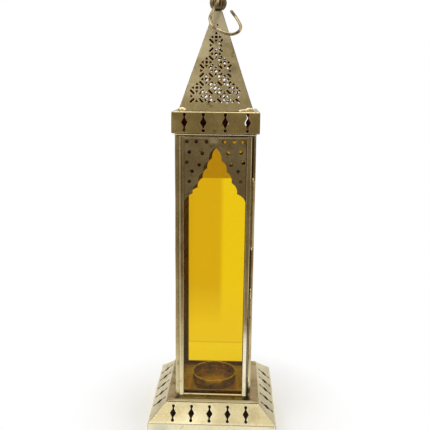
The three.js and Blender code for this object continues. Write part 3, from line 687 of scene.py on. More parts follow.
# The pale band along the top edge and the pale left end are painted highlights, for light from above and from
# the left.
corniceBrass = agedBrass(
    "agedBrassCornicePaintedLight", "#cdbb82", "#a5935f", "#5a4726", "#e2d29c", stainShare=0.35, roughness=0.32,
    rubbedShare=0.35, shadedCuts=0.9,
    levels=[{"from": corniceTop - 1.3, "to": corniceTop - 0.5, "wander": 0, "share": 0.45,
             "colour": "#f4e8bc"}],
    spots=[{"at": (-46, -45, corniceTop - 11), "reach": 11, "share": 0.5, "colour": "#eee0ae"}])
# The two pale spots on the front's left are painted highlights along the left hip.
roofBrass = agedBrass(
    "agedBrassRoofPaintedLight", "#ab9d78", "#94855b", "#5f5130", "#cfc298", stainShare=0.3, roughness=0.38,
    rubbedShare=0.3, seams="#5d4d30", shadedCuts=0.9,
    levels=[{"from": 372, "to": 392, "wander": 10, "share": 0.6, "colour": "#c6bfa2"}],
    spots=[{"at": (14, -17, 352), "reach": 8, "share": 0.6, "colour": "#6f5f3a"},
           {"at": (-22, -27, 340), "reach": 14, "share": 0.4, "colour": "#cbc199"},
           {"at": (-12, -15, 372), "reach": 12, "share": 0.6, "colour": "#cbc199"}])
# The cup's rubbed tone, laid along the lip, is a painted highlight on the rim.
cupBrass = agedBrass(
    "darkenedBrassCupPaintedHighlight", "#c4a870", "#86744c", "#4a3a24", "#e8c988", tarnishShare=0.45, stainShare=0.35,
    roughness=0.3,
    lines=[{"axis": "Z", "at": height, "half": 0.35, "along": "X", "from": -30, "to": 30, "share": 0.55,
            "colour": "#4a3c24"} for height in (35.2, 39.4)])
ballBrass = agedBrass("darkenedBrassBall", "#a08f68", "#6c5f42", "#2c2318", "#c8b684", stainShare=0.45,
                      roughness=0.32)
drawnWire = smoothMetal("drawnBrassWire", "#b8a67e", "#67523a", roughness=0.24, size=6, bumpDistance=0.02)
pinWire = smoothMetal("brightBrassPin", "#f0dfae", "#b39c68", roughness=0.24, size=6, bumpDistance=0.02)
softSolder = smoothMetal("softSolder", "#f2e6c0", "#c8b484", roughness=0.3, size=2.2, bumpDistance=0.12)
amberGlass = sheetGlass("amberSheetGlass", "#eed43e")
# The back pane's bands are painted light and shade of what shows through it: a paler tint right of 8 mm and
# below 80 mm, a thin darker and then paler line near 60 mm, and a darker tint above 244 mm.
amberBackGlassPaintedLight = sheetGlass("amberBackGlassPaintedLight", "#e8cc38", [
    {"axis": "X", "from": 3, "to": 8, "tint": "#fdee50"},
    {"axis": "Z", "from": 125, "to": 80, "tint": "#fbe848"},
    {"axis": "Z", "from": 60.8, "to": 60.3, "tint": "#ecd040"},
    {"axis": "Z", "from": 59.8, "to": 59.3, "tint": "#fff050"},
    {"axis": "Z", "from": 244, "to": 244.8, "tint": "#bd9a22"}])
print("lantern: materials made")


# Cut-outs shared by the base and the cornice: a diamond between two round eyes, joined by narrow necks.
# The distance is the least of a rhombus, two circles and a slim bar, for a row of places across.
punch = {"halfWidth": 3.1, "halfHeight": 5.4, "neck": 0.75, "eye": 1.5, "eyeNeck": 0.4}


def diamondRow(stations, middle):
    a, b = punch["halfWidth"], punch["halfHeight"]
    eyeAt = b + punch["eyeNeck"] + math.sqrt(punch["eye"] ** 2 - punch["neck"] ** 2)

    def holes(p):
        x = np.abs(p[:, 0, None] - np.array(stations)[None])
        y = np.abs(p[:, 1, None] - middle)
        rhombus = (x * b + y * a - a * b) / math.hypot(a, b)
        eyes = np.hypot(x, y - eyeAt) - punch["eye"]
        bar = np.maximum(x - punch["neck"], y - eyeAt)
        return np.minimum(np.minimum(rhombus, eyes), bar).min(1)

    return holes


sideNames = ["front", "right", "back", "left"]
solderGap = 0.3  # between soldered pieces, as in the construction model


# Half the width of a mitred side sheet where it lies this far out: as far again, less its share of the gap.
def quarterWidth(y, z):
    return -y - solderGap / math.sqrt(2)


# Base: four mitred sheets, each folded from the slope to the plinth and in under it to the hem

baseShape = {"sheet": 0.6, "plinth": 16, "hem": 8, "bend": 1.25, "rim": 0.2,
             "pitch": 17.95, "count": 5, "shift": -2.7, "step": 0.75}


# The section runs down the slope and the plinth and in under it, and holes lie at even steps on the slope.
def makeBase(size):
    low, high = boxOf("base_sheet_front")
    half, top = -low[1], high[2]
    slopeTop = boxOf("platform")[0][1]
    line = foldLine([[slopeTop, top], [-half, size["plinth"]], [-half, 0], [-half + size["hem"], 0]],
                    size["bend"])
    middle = math.hypot(slopeTop + half, top - size["plinth"]) / 2
    stations = (np.arange(size["count"]) - (size["count"] - 1) / 2) * size["pitch"] + size["shift"]
    holes = diamondRow(stations, middle)
    for i, side in enumerate(sideNames):
        sheet = foldedSheet(line, quarterWidth, holes, size["sheet"], size["rim"], alongX, size["step"],
                            flatWave(2.1 * i, 0.1))
        addPiece(f"base_{side}", quarterTurn(sheet, i), "lantern", baseBrass,
                 [f"base_sheet_{side}"])


# A flat square plate that fills its node's box, with a square opening if it has one: the distance to that
# is how far out the further of the two coordinates lies, less half the opening.
def makePlate(name, node, size, material, wave, opening=None):
    low, high = boxOf(node)
    line = foldLine([[high[1], high[2]], [low[1], high[2]]])
    holes = noHoles
    if opening:
        def holes(p):
            return np.maximum(np.abs(p[:, 0]), np.abs(high[1] - p[:, 1])) - opening
    plate = foldedSheet(line, lambda a, b: high[0] + 0 * a, holes, size["sheet"], size["rim"], alongX,
                        size["step"], wave)
    addPiece(name, plate, "lantern", material, [node])


platformShape = {"sheet": 1.0, "rim": 0.3, "step": 1.5}
makeBase(baseShape)
makePlate("platform_plate", "platform", platformShape, floorBrass, flatWave(0.6, 0.08, 13, 11))
print("lantern: base made")


# Candle cup: a low spun tray, floor, round corner and wall with a rounded lip

cupShape = {"wall": 0.8, "corner": 1.2, "centre": 0.5, "flatEdge": 4, "bendSteps": 7, "sides": 96}


# The section runs out under the floor, up the wall, over the lip and back inside, and is carried round.
def makeCup(size):
    low, high = boxOf("candle_cup")
    radius, foot, top = high[0], low[2], high[2]
    turn = np.linspace(0, math.pi / 2, size["bendSteps"])
    lip = np.linspace(0, math.pi, size["bendSteps"])
    wall, corner = size["wall"], size["corner"]
    flat = [size["centre"], radius - corner - size["flatEdge"]]
    outerR = [*flat, *(radius - corner + corner * np.sin(turn)), radius]
    outerZ = [foot, foot, *(foot + corner * (1 - np.cos(turn))), top - wall / 2]
    lipR = radius - wall / 2 + wall / 2 * np.cos(lip)[1:]
    lipZ = top - wall / 2 + wall / 2 * np.sin(lip)[1:]
    inner = corner - wall
    innerR = [*(radius - corner + inner * np.sin(turn[::-1])), *flat[::-1]]
    innerZ = [*(foot + wall + inner * (1 - np.cos(turn[::-1]))), foot + wall, foot + wall]
    profileR = np.concatenate([outerR, lipR, innerR])
    profileZ = np.concatenate([outerZ, lipZ, innerZ])
    points, triangles, marks = revolve(profileR, profileZ, size["sides"])
    marks[:, 0] = np.clip(top - points[:, 2], 0, farFromEdge)  # the edge band counts down from the lip, so its tone paints a highlight along the rim
    addPiece("cup", (points, triangles, marks), "lantern", cupBrass, ["candle_cup"])


makeCup(cupShape)
print("lantern: cup made")


# Body: corner posts of folded angle

postShape = {"sheet": 1.0, "leg": 7.5, "bend": 1.15, "rim": 0.2, "stepAround": 0.6, "stepUp": 4}


# Each post is an angle bent about its upright edge: the one in front on the left, turned to each corner.
def makePosts(size):
    corners = ["front_left", "front_right", "back_right", "back_left"]
    low, high = boxOf("post_front_left")
    line = foldLine([[low[0], low[1] + size["leg"]], low[:2], [low[0] + size["leg"], low[1]]], size["bend"])
    half, middle = (high[2] - low[2]) / 2, (high[2] + low[2]) / 2
    rim = size["rim"]
    uLines = gridLines([-half, -half + rim, half - rim, half], size["stepUp"])
    for i, corner in enumerate(corners):
        post = foldedSheet(line, lambda a, b: half + 0 * a, noHoles, size["sheet"], rim,
                           lambda u, a, b: alongZ(u + middle, a, b), size["stepAround"],
                           flatWave(1.3 * i, 0.1, 14, 9), uLines=uLines)
        addPiece(f"corner_{corner}", quarterTurn(post, i), "lantern", postBrass,
                 [f"post_{corner}"])


makePosts(postShape)
print("lantern: posts made")


# Arch plates: a sheet with a lobed arch and small punched holes. Cusps are half widths of the arch, down
# from its tip, and span and up are the holes' places from the middle and from the tip.

archShape = {"sheet": 0.7, "rim": 0.15, "tipLobe": 12, "lobe": 10.25, "cusps": [5.8, 10.6, 15.3, 20.6],
             "rise": 1.9, "lobePoints": 10, "hole": 1.8, "sill": 4, "doorRun": 20, "stepFine": 0.5,
             "stepCoarse": 4, "fineRun": 1, "tipDrop": 12, "wallDrop": 7.2,
             "span": [7.9, 17.4, 25.9, 11.9, 23.6, 14.6, 26, 21.2, 23.8],
             "up": [5.4, 5.4, 5.4, -5.2, -4.2, -15.9, -13.7, -21.9, -31.4]}


# The arch's edge from foot to foot: its cusps and their mirror images, joined by shallow parabolas that
# bulge by 4t(1 - t) of the rise.
def archEdge(size, halfWidth, tip):
    cusps = np.array([[0, tip]] + [[w, tip - size["tipLobe"] - i * size["lobe"]]
                                   for i, w in enumerate([*size["cusps"], halfWidth])])
    chord = np.diff(cusps, axis=0)
    t = np.linspace(0, 1, size["lobePoints"], endpoint=False)[None, :, None]
    bulge = np.stack([-chord[:, 1], chord[:, 0]], 1) / np.hypot(*chord.T)[:, None] * size["rise"]
    right = cusps[:-1, None] + t * chord[:, None] + 4 * t * (1 - t) * bulge[:, None]
    right = np.concatenate([right.reshape(-1, 2), cusps[-1:]])
    return np.concatenate([(right * [-1, 1])[:0:-1], right])


# Signed distance to a closed outline, positive inside: the nearest edge gives its size, and whether an odd
# number of edges lies to the right gives its sign.
def insideOutline(p, outline):
    start, end = outline[None], np.roll(outline, -1, 0)[None]
    edge, away = end - start, p[:, None] - start
    t = np.clip((away * edge).sum(-1) / np.maximum((edge * edge).sum(-1), 1e-12), 0, 1)
    gap = np.linalg.norm(away - t[..., None] * edge, axis=-1).min(1)
    height = p[:, 1, None]
    straddles = (start[..., 1] > height) != (end[..., 1] > height)
    rise = np.where(edge[..., 1] == 0, 1, edge[..., 1])
    meets = start[..., 0] + (height - start[..., 1]) / rise * edge[..., 0]
    inside = (straddles & (p[:, 0, None] < meets)).sum(1) % 2 == 1
    return np.where(inside, gap, -gap)


# An upright plate whose holes are the arch, down to the bottom of its opening, and round ones beside it.
def archPlate(size, box, opening, tip, bottom, turn):
    low, high = box
    edge = archEdge(size, opening, tip)
    outline = np.concatenate([[[-opening, bottom]], edge, [[opening, bottom]]])
    spans = np.array(size["span"])
    centres = np.concatenate([np.stack([s * spans, tip + np.array(size["up"])], 1) for s in (-1, 1)])

    def holes(p):
        flat = np.stack([p[:, 0], high[2] - p[:, 1]], 1)
        arch = -insideOutline(flat, outline)
        rounds = np.linalg.norm(flat[:, None] - centres[None], axis=-1).min(1) - size["hole"]
        return np.minimum(arch, rounds)

    line = foldLine([[low[1], high[2]], [low[1], low[2]]])
    rim, half, run = size["rim"], high[0], size["fineRun"]
    spring = high[2] - edge[0, 1] + run
    sill = high[2] - max(bottom, low[2]) - rim
    marks = [0, rim, spring, max(sill - run, spring + run), line["length"] - rim, line["length"]]
    fine, coarse = size["stepFine"], size["stepCoarse"]
    vLines = gridLines(marks, [fine, fine, coarse, fine, fine])
    uLines = gridLines([-half, -half + rim, half - rim, half], fine)
    return foldedSheet(line, lambda a, b: half + 0 * a, holes, size["sheet"], rim, alongX, fine,
                       flatWave(turn, 0.06, 11, 13), vLines, uLines)


def makeArches(size):
    bodyTop = boxOf("top_plate")[1][2]
    wallTip = bodyTop - size["tipDrop"] - size["wallDrop"]
    opening = -boxOf("post_front_left")[0][0] - postShape["leg"]
    panel = boxOf("arch_panel_right")
    half, front = panel[1][1], -panel[1][0]
    box = (np.array([-half, front, panel[0][2]]), np.array([half, front, panel[1][2]]))
    for i, side in enumerate(sideNames):
        if side == "front":
            continue
        plate = archPlate(size, box, opening, wallTip, box[0][2] + size["sill"], 1.7 * i)
        addPiece(f"arch_{side}", quarterTurn(plate, i), "lantern", archBrass,
                 [f"arch_panel_{side}"])
    low, high = boxOf("door_arch")
    doorOpening = boxOf("door_rail_bottom")[1][0] + solderGap
    doorTip = bodyTop - size["tipDrop"]
    doorFoot = low[2] - size["doorRun"]  # its arch runs on past the plate's foot
    doorPlate = archPlate(size, (low, high), doorOpening, doorTip, doorFoot, 0.4)
    addPiece("arch_door", doorPlate, "door", archBrass, ["door_arch"])


makeArches(archShape)
topPlateShape = {"sheet": 1.0, "rim": 0.25, "step": 1.2, "frame": 9}
makePlate("top_closing_plate", "top_plate", topPlateShape, plateBrass, flatWave(0.3, 0.05, 13, 11),
          opening=boxOf("cornice_front")[1][0] - topPlateShape["frame"])
print("lantern: arch plates made")


# Glass: flat slabs with softened edges. The narrow first step keeps the rim's rounding from bending what
# shows through the glass.
paneShape = {"rim": 0.3, "firstStep": 0.15, "step": 8, "wallGlass": 2.0, "doorGlass": 1.5}


# A pane is made as if it stood in front, as wide and high as its node's box, and is turned to its side.
def makePane(name, node, turns, thickness, body, material):
    low, high = boxOf(node)
    corners = np.array([low, high])
    c, s = [(1, 0), (0, -1), (-1, 0), (0, 1)][turns % 4]
    turned = np.stack([c * corners[:, 0] - s * corners[:, 1], s * corners[:, 0] + c * corners[:, 1]], 1)
    half, front = np.abs(turned[:, 0]).max(), turned[:, 1].min()
    line = foldLine([[front, high[2]], [front, low[2]]])
    rim, step, end = paneShape["rim"], paneShape["step"], line["length"]
    flat = rim + paneShape["firstStep"]
    uLines = gridLines([-half, -half + rim, -half + flat, half - flat, half - rim, half], step)
    vLines = gridLines([0, rim, flat, end - flat, end - rim, end], step)
    pane = foldedSheet(line, lambda a, b: half + 0 * a, noHoles, thickness, rim, alongX, step, flatWave(0, 0),
                       vLines, uLines)
    addPiece(name, quarterTurn(pane, turns), body, material, [node])


for turns, side in enumerate(sideNames[1:], 1):
    glass = amberBackGlassPaintedLight if side == "back" else amberGlass
    makePane(f"glass_{side}", f"pane_{side}", turns, paneShape["wallGlass"], "lantern", glass)
makePane("glass_door", "door_glass", 0, paneShape["doorGlass"], "door", amberGlass)
print("lantern: glass made")


# Door: two folded stiles as high as the door, with the rails between them. A channel is the depth of a
# stile and the rails' lip is narrower in front.
doorShape = {"sheet": 0.8, "channel": 4.2, "railLip": 1.9, "bend": 0.9, "rim": 0.18, "stepAround": 0.45,
             "stepLong": 2.5, "endRun": 2}


# Each member is a channel folded along its own length, then turned in the door's plane to its side of it.
def makeDoor(size):
    low, high = boxOf("door_rail_bottom")
    stileLow, stileHigh = boxOf("door_stile_right")
    front, back, bottom, top = low[1], high[1], stileLow[2], stileHigh[2]
    middle = (top + bottom) / 2
    members = {  # cosine and sine of its turn, half its length, how far out it lies, and its lip
        "rail_bottom": ((1, 0), high[0], middle - bottom, size["railLip"]),
        "rail_top": ((-1, 0), high[0], top - middle, size["railLip"]),
        "stile_left": ((0, 1), top - middle, stileHigh[0], size["channel"]),
        "stile_right": ((0, -1), top - middle, stileHigh[0], size["channel"]),
    }
    for i, (name, ((c, s), half, outer, lip)) in enumerate(members.items()):
        section = [[front, -outer + lip], [front, -outer], [back, -outer], [back, -outer + size["channel"]]]
        line = foldLine(section, size["bend"])

        def place(u, a, b):
            return np.stack([c * u + s * b, a, -s * u + c * b + middle], 1)

        fine, run = size["stepAround"], size["endRun"]
        uLines = gridLines([-half, -half + run, half - run, half], [fine, size["stepLong"], fine])
        member = foldedSheet(line, lambda a, b: half + 0 * a, noHoles, size["sheet"], size["rim"], place,
                             fine, flatWave(1.1 * i, 0.07, 10, 5), uLines=uLines)
        addPiece(f"door_{name}_channel", member, "door", stileBrass, [f"door_{name}"])


makeDoor(doorShape)


# Hinges: a strip rolled into a barrel on the door, round a wire that is bent in and soldered to the post.
# The strip's section is a three-quarter circle and then a straight leaf, with the thickness towards the
# wire.
hingeShape = {"wall": 0.5, "rollTurn": 318, "rollSteps": 26, "rim": 0.14, "stepAround": 0.5, "stepUp": 3,
              "wire": 0.7, "footRise": 0.9, "bendRise": 2.4, "footIn": 0.2, "bendOut": 0.7, "bendUp": 0.1}


# The roll is a circle round the hinge's axis, (x - r cos, y + r sin) of an angle that ends at the leaf.
def makeHinges(size):
    axis = np.array(frame["joints"][0]["pos_m"]) / mm
    for name in ("upper", "lower"):
        low, high = boxOf(f"hinge_barrel_{name}")
        pinLow, pinHigh = boxOf(f"hinge_pin_{name}")
        radius = high[1] - axis[1]
        sweep = np.linspace(math.radians(size["rollTurn"]), 0, size["rollSteps"])
        roll = np.stack([axis[0] - radius * np.cos(sweep), axis[1] + radius * np.sin(sweep)], 1)
        points = np.concatenate([roll, [[low[0], low[1]]]])
        angles = np.concatenate([1.5 * math.pi - sweep, [1.5 * math.pi]])
        along = np.concatenate([[0], np.cumsum(np.hypot(*np.diff(points, axis=0).T))])
        line = {"along": along, "points": points, "angles": angles, "length": along[-1]}
        half, middle = (high[2] - low[2]) / 2, (high[2] + low[2]) / 2
        uLines = gridLines([-half, -half + size["rim"], half - size["rim"], half], size["stepUp"])
        barrel = foldedSheet(line, lambda a, b: half + 0 * a, noHoles, size["wall"], size["rim"],
                             lambda u, a, b: alongZ(u + middle, a, b), size["stepAround"], flatWave(0, 0),
                             uLines=uLines)
        addPiece(f"barrel_{name}", barrel, "door", hingeBrass, [f"hinge_barrel_{name}"])
        foot, rise, bend = pinHigh[1] - size["footIn"], size["footRise"], size["bendRise"]
        corner = axis[1] + size["bendOut"]
        lower = [[foot, rise], [corner, rise + size["bendUp"]], [axis[1], bend]]
        path = [[axis[0], y, pinLow[2] + z] for y, z in lower] + [[axis[0], axis[1], middle]]
        path += [[axis[0], y, pinHigh[2] - z] for y, z in lower[::-1]]
        wire = sweepWire(smoothPath(path), size["wire"], np.array([1.0, 0, 0]))
        addPiece(f"pin_{name}", wire, "lantern", pinWire, [f"hinge_pin_{name}"])


makeHinges(hingeShape)
print("lantern: door and hinges made")


# Cornice: four mitred strips, folded to a channel that opens inwards, with the row of cut-outs on its face

corniceShape = {"sheet": 1.0, "flange": 9, "bend": 1.15, "rim": 0.2, "step": 0.7,
                "stations": [-28.6, -11.2, 8.9, 29.2]}


# The section goes out along the top flange, down the face, and in again along the lower flange.
def makeCornice(size):
    low, high = boxOf("cornice_front")
    front, foot, top = low[1], low[2], high[2]
    inner = front + size["flange"]
    line = foldLine([[inner, top], [front, top], [front, foot], [inner, foot]], size["bend"])
    holes = diamondRow(size["stations"], line["bends"].mean())
    for i, side in enumerate(sideNames):
        strip = foldedSheet(line, quarterWidth, holes, size["sheet"], size["rim"], alongX, size["step"],
                            flatWave(0.9 + 1.9 * i, 0.09))
        addPiece(f"cornice_{side}_strip", quarterTurn(strip, i), "lantern", corniceBrass,
                 [f"cornice_{side}"])


makeCornice(corniceShape)
print("lantern: cornice made")


# Roof: a chequer of solid hubs and round holes, with wedges between them and slots on the diagonals. Reach
# is how many columns each row runs to either side, from the foot up.
roofShape = {"sheet": 0.8, "topSide": 7.85, "rim": 0.15, "step": 0.45, "firstRow": 13.8, "shift": -1.1,
             "across": 8.4, "up": 8.08,
             "reach": [2, 2, 1, 1, 1, 0, 0, 0], "ring": 1.35, "wedgeBase": 3.1, "wedgeDepth": 2.6,
             "wedgeFromRing": 2.6, "slot": 5.7, "slotWidth": 1.85, "vent": 0.8, "ventDrop": 13.4,
             "margin": 1.2, "backDrop": 4.8}


# Places of the rings, wedges and slots of one panel: where row and column sum to an even number is a hub.
def roofPattern(size, halfAt, ventAt):
    highest = ventAt - size["vent"] - size["margin"]

    def place(row, column):
        return np.array([column * size["across"] + size["shift"], size["firstRow"] + row * size["up"]])

    def fits(points):
        across, up = np.array(points).T
        return bool(((up < highest) & (np.abs(across) < halfAt(up) - size["margin"])).all())

    rings, wedges, slots = {}, {}, {}
    for row, reach in enumerate(size["reach"]):
        for column in range(-reach, reach + 1):
            centre = place(row, column)
            hub = (row + column) % 2 == 0
            circle = centre + size["ring"] * np.array([[1, 0], [-1, 0], [0, 1], [0, -1]])
            if not hub and fits(circle):
                rings[row, column] = centre
            for up, across in ((1, 0), (-1, 0), (0, 1), (0, -1)):
                ringAt = place(row + up, column + across) if hub else centre
                towards = np.array([across, up]) * (-1 if hub else 1)
                base = ringAt + size["wedgeFromRing"] * towards
                side = np.array([-towards[1], towards[0]]) * size["wedgeBase"] / 2
                if fits([base + side, base - side, base + size["wedgeDepth"] * towards]):
                    wedges[row + up / 2, column + across / 2] = (base, towards)
            for up, across in ((1, 1), (1, -1), (-1, 1), (-1, -1)) if hub else ():
                middle = place(row + up / 2, column + across / 2)
                along = (middle - centre) / np.linalg.norm(middle - centre)
                end = along * size["slot"] / 2
                side = np.array([-along[1], along[0]]) * size["slotWidth"] / 2
                if fits([middle + end + side, middle - end + side, middle - end - side, middle + end - side]):
                    slots[row + up / 2, column + across / 2] = (middle - end, middle + end)
    return rings, wedges, slots


# The distance to the nearest hole: circles, wedges as triangles with their base towards the ring, and slots
# as runs with round ends.
def roofHoles(size, length, halfAt):
    ventAt = length - size["ventDrop"]
    rings, wedges, slots = roofPattern(size, halfAt, ventAt)
    circles = np.array([*rings.values(), [0, ventAt]])
    radii = np.array([size["ring"]] * len(rings) + [size["vent"]])
    bases = np.array([base for base, _ in wedges.values()])
    aims = np.array([aim for _, aim in wedges.values()])
    starts = np.array([start for start, _ in slots.values()])
    ends = np.array([end for _, end in slots.values()])
    radius = size["slotWidth"] / 2
    inset = (ends - starts) / np.linalg.norm(ends - starts, axis=1)[:, None] * radius
    starts, ends = starts + inset, ends - inset
    half, depth = size["wedgeBase"] / 2, size["wedgeDepth"]

    def holes(p):
        q = np.stack([p[:, 0], length - p[:, 1]], 1)[:, None]
        rounds = (np.linalg.norm(q - circles, axis=-1) - radii).min(1)
        away = q - bases
        deep = (away * aims).sum(-1)
        wide = np.abs(away[..., 0] * aims[:, 1] - away[..., 1] * aims[:, 0])
        flank = (wide * depth + deep * half - half * depth) / math.hypot(half, depth)
        wedge = np.maximum(-deep, flank).min(1)
        run = ends - starts
        t = np.clip(((q - starts) * run).sum(-1) / (run * run).sum(-1), 0, 1)
        slot = (np.linalg.norm(q - starts - t[..., None] * run, axis=-1) - radius).min(1)
        return np.minimum(np.minimum(rounds, wedge), slot)

    return holes


# Each panel is flat, from the open top down to the foot, and narrows with its height to meet the next.
def makeRoof(size):
    low, high = boxOf("roof_panel_front")
    foot, top, run = low[2], high[2], -low[1]
    topHalf = size["topSide"] / 2
    line = foldLine([[-topHalf, top], [-run, foot]])
    length = line["length"]

    def halfAt(up):  # half the panel's width, which falls in a straight line up the slope
        return run - (run - topHalf) * up / length

    for i, side in enumerate(sideNames):
        drop = size["backDrop"] if side == "back" else 0  # the back panel was punched a little lower
        holes = roofHoles({**size, "firstRow": size["firstRow"] - drop}, length, halfAt)
        panel = foldedSheet(line, quarterWidth, holes, size["sheet"], size["rim"], alongX, size["step"],
                            flatWave(0.5 + 1.4 * i, 0.06, 8, 10))
        addPiece(f"roof_{side}", quarterTurn(panel, i), "lantern", roofBrass,
                 [f"roof_panel_{side}"])


makeRoof(roofShape)


# Soft solder run in at the roof's front corners: how far along from the middle and above the foot, and its
# size. Every run lies a little in from the panel's face.
solderDepth = 0.5
solderRuns = [
    {"name": "solder_left", "along": -31.2, "rise": 1.1, "size": (4.0, 1.5, 2.0), "turn": 0.4},
    {"name": "solder_right", "along": 30.4, "rise": 1.2, "size": (4.2, 1.5, 2.1), "turn": 2.0},
    {"name": "solder_right_tail", "along": 24.6, "rise": 0.6, "size": (3.4, 1.3, 1.3), "turn": 3.1},
]


def makeSolder(runs):
    low, high = boxOf("roof_panel_front")
    for run in runs:
        centre = np.array([run["along"], low[1] + solderDepth, low[2] + run["rise"]])
        addPiece(run["name"], lump(centre, run["size"], run["turn"]), "lantern", softSolder)


makeSolder(solderRuns)
print("lantern: roof made")


# Finial: a gadrooned ball on a short neck, with a stem in the roof's open top and a collar above

finialShape = {"ball": 8, "ribs": 16, "ribDepth": 0.9, "ribPower": 0.7, "footRadius": 5, "neckHeight": 1,
               "neckRadius": 3.48, "stemRadius": 2.78, "stem": 7, "collar": 2.8, "ease": 0.3,
               "neckEase": 0.15, "footEase": 0.1, "bands": 26, "sides": 192}


# Height of the ball's middle, and how far below it the ball meets its foot: the root of the ball's radius
# squared less the foot's.
def ballPlace(size):
    footDrop = math.sqrt(size["ball"] ** 2 - size["footRadius"] ** 2)
    return boxOf("finial")[0][2] + size["stem"] + size["neckHeight"] + footDrop, footDrop


# A turned profile whose radius, on the ball, dips between the ribs: by the rib's depth, times one less a
# power of the cosine of half the ribs' turn.
def makeFinial(size):
    low, high = boxOf("finial")
    seat, radius, ease = low[2] + size["stem"], size["ball"], size["ease"]
    centre, footDrop = ballPlace(size)
    angle = np.linspace(-math.asin(footDrop / radius), math.acos(size["collar"] / radius), size["bands"])
    ballRadius, ballHeight = radius * np.cos(angle), centre + radius * np.sin(angle)
    stem, neck, collar, neckEase = size["stemRadius"], size["neckRadius"], size["collar"], size["neckEase"]
    below = np.array([  # radius and height, up to the ball
        [stem - ease, low[2]], [stem, low[2] + ease], [stem, seat], [neck - neckEase, seat],
        [neck, seat + neckEase], [neck, centre - footDrop - size["footEase"]]])
    above = np.array([[collar, high[2] - ease], [collar - ease, high[2]]])
    radii = np.concatenate([below[:, 0], ballRadius, above[:, 0]])
    heights = np.concatenate([below[:, 1], ballHeight, above[:, 1]])
    turn = np.linspace(0, 2 * math.pi, size["sides"], endpoint=False)[None]
    ribbed = np.concatenate([np.zeros(len(below)), np.ones(len(angle)), np.zeros(len(above))])
    groove = 1 - np.abs(np.cos(size["ribs"] / 2 * turn)) ** size["ribPower"]
    dip = size["ribDepth"] * (radii / radius * ribbed)[:, None] * groove
    ball = revolve(radii[:, None] - dip, heights, size["sides"])
    addPiece("finial_ball", ball, "lantern", ballBrass, ["finial"])


makeFinial(finialShape)


# Ring and hook: round wire. The hook's bends are places to the side and down from the ring's middle, in the
# plane of the hook, and its eye is a loop round the ring from one angle to another.
wireShape = {"ring": 11, "ringWire": 1.2, "ringSides": 16, "ringPoints": 96, "shankPoints": 8,
             "hookWire": 1.35, "hookSeat": 1.05, "hookSides": 14, "eye": 3.0, "eyeDown": 11.45,
             "eyeAngles": (-62, 232), "eyePoints": 15, "pointsPerRun": 6,
             "bends": [[0.3, 17.5], [0.2, 22], [-4.1, 32.4], [-6.9, 41], [-4.2, 48.8], [3.6, 54.1],
                       [12.8, 56.8], [19, 54.5], [21.3, 49.8], [18.4, 42.4], [11.9, 32.6]]}


# The hook leans out until its wire rests on the ball: the lean's sine is the distance between the middles
# of ball and wire, over the height from the ball's middle to the ring's.
def hookLean(size, centre):
    clear = finialShape["ball"] + size["hookSeat"] + solderGap
    return math.asin(clear / (centre - ballPlace(finialShape)[0]))


# The ring is radius by sine and cosine in the plane of Y and Z, with its shank below. The hook's flat bends
# lean by an angle: their height goes up by its cosine and back by its sine.
def makeRingAndHook(size):
    low, high = boxOf("finial_ring")
    centre = high[2] - size["ringWire"] - size["ring"]
    turn = np.linspace(0, 2 * math.pi, size["ringPoints"], endpoint=False)
    loop = np.stack([0 * turn, size["ring"] * np.sin(turn), centre - size["ring"] * np.cos(turn)], 1)
    sideways = np.array([1.0, 0, 0])
    ring = sweepWire(loop, size["ringWire"], sideways, size["ringSides"], closed=True)
    heights = np.linspace(low[2], centre - size["ring"], size["shankPoints"])
    shank = sweepWire(heights[:, None] * [0, 0, 1], size["ringWire"], sideways, size["ringSides"])
    addPiece("ring_wire", joinParts([ring, shank]), "lantern", drawnWire, ["finial_ring"])
    around = np.radians(np.linspace(*size["eyeAngles"], size["eyePoints"]))
    eye = np.stack([-size["eye"] * np.cos(around), size["eye"] * np.sin(around) - size["eyeDown"]], 1)
    flat = smoothPath(np.concatenate([eye, np.array(size["bends"]) * [1, -1]]), size["pointsPerRun"])
    lean = hookLean(size, centre)
    path = np.stack([flat[:, 0], flat[:, 1] * math.sin(lean), centre + flat[:, 1] * math.cos(lean)], 1)
    across = np.array([0, math.cos(lean), -math.sin(lean)])
    hook = sweepWire(path, size["hookWire"], across, size["hookSides"])
    addPiece("hook_wire", hook, "hook", drawnWire, ["hanging_hook"])


makeRingAndHook(wireShape)
print("lantern: finial, ring and hook made")


# Stage: a pale floor that keeps the shadow and turns white with distance, soft lamps, and a plain world.
# What glossy rays see in front, past a sheet of pale paper, is a dimmer and warmer room. Places are in
# metres. A pair is where a tone starts and where it is whole, and for the world a share of the direction.
stageLook = {"radius": 3.0, "rings": 14, "firstShare": 0.001, "secondShare": 0.05, "crowding": 1.5,
             "sides": 64, "drop": 0.0002, "floor": "#fbfbf9", "floorRough": 0.8, "floorShine": 0.2,
             "fade": (0.066, 0.15), "under": "#a07a56", "underHalf": 0.06, "underEdge": 0.004,
             "ambient": 0.55, "room": "#ffefd8", "roomLow": 0.36, "roomHigh": 1.0,
             "paper": (-0.25, -0.55), "roomAhead": (0.1, -0.35), "overhead": (0.35, 0.92),
             "sideways": (0.8, 0.2), "sidesLevel": 0.9, "behindLevel": 0.6}
white = (1, 1, 1, 1)


# What a white surround shows to: 1 for rays from the camera, also past glass and off metal, and which of
# them are mirrored. Cycles calls a ray that goes through glass glossy too, so those are taken off.
def visibleShare(tree):
    path = addNode(tree, "ShaderNodeLightPath")
    seen = addNode(tree, "ShaderNodeMath", {0: path["Is Camera Ray"], 1: path["Is Glossy Ray"]},
                   operation="MAXIMUM")[0]
    seen = addNode(tree, "ShaderNodeMath", {0: seen, 1: path["Is Transmission Ray"]}, operation="MAXIMUM")[0]
    mirrored = addNode(tree, "ShaderNodeMath", {0: path["Is Glossy Ray"], 1: path["Is Transmission Ray"]},
                       operation="SUBTRACT", use_clamp=True)[0]
    return seen, mirrored


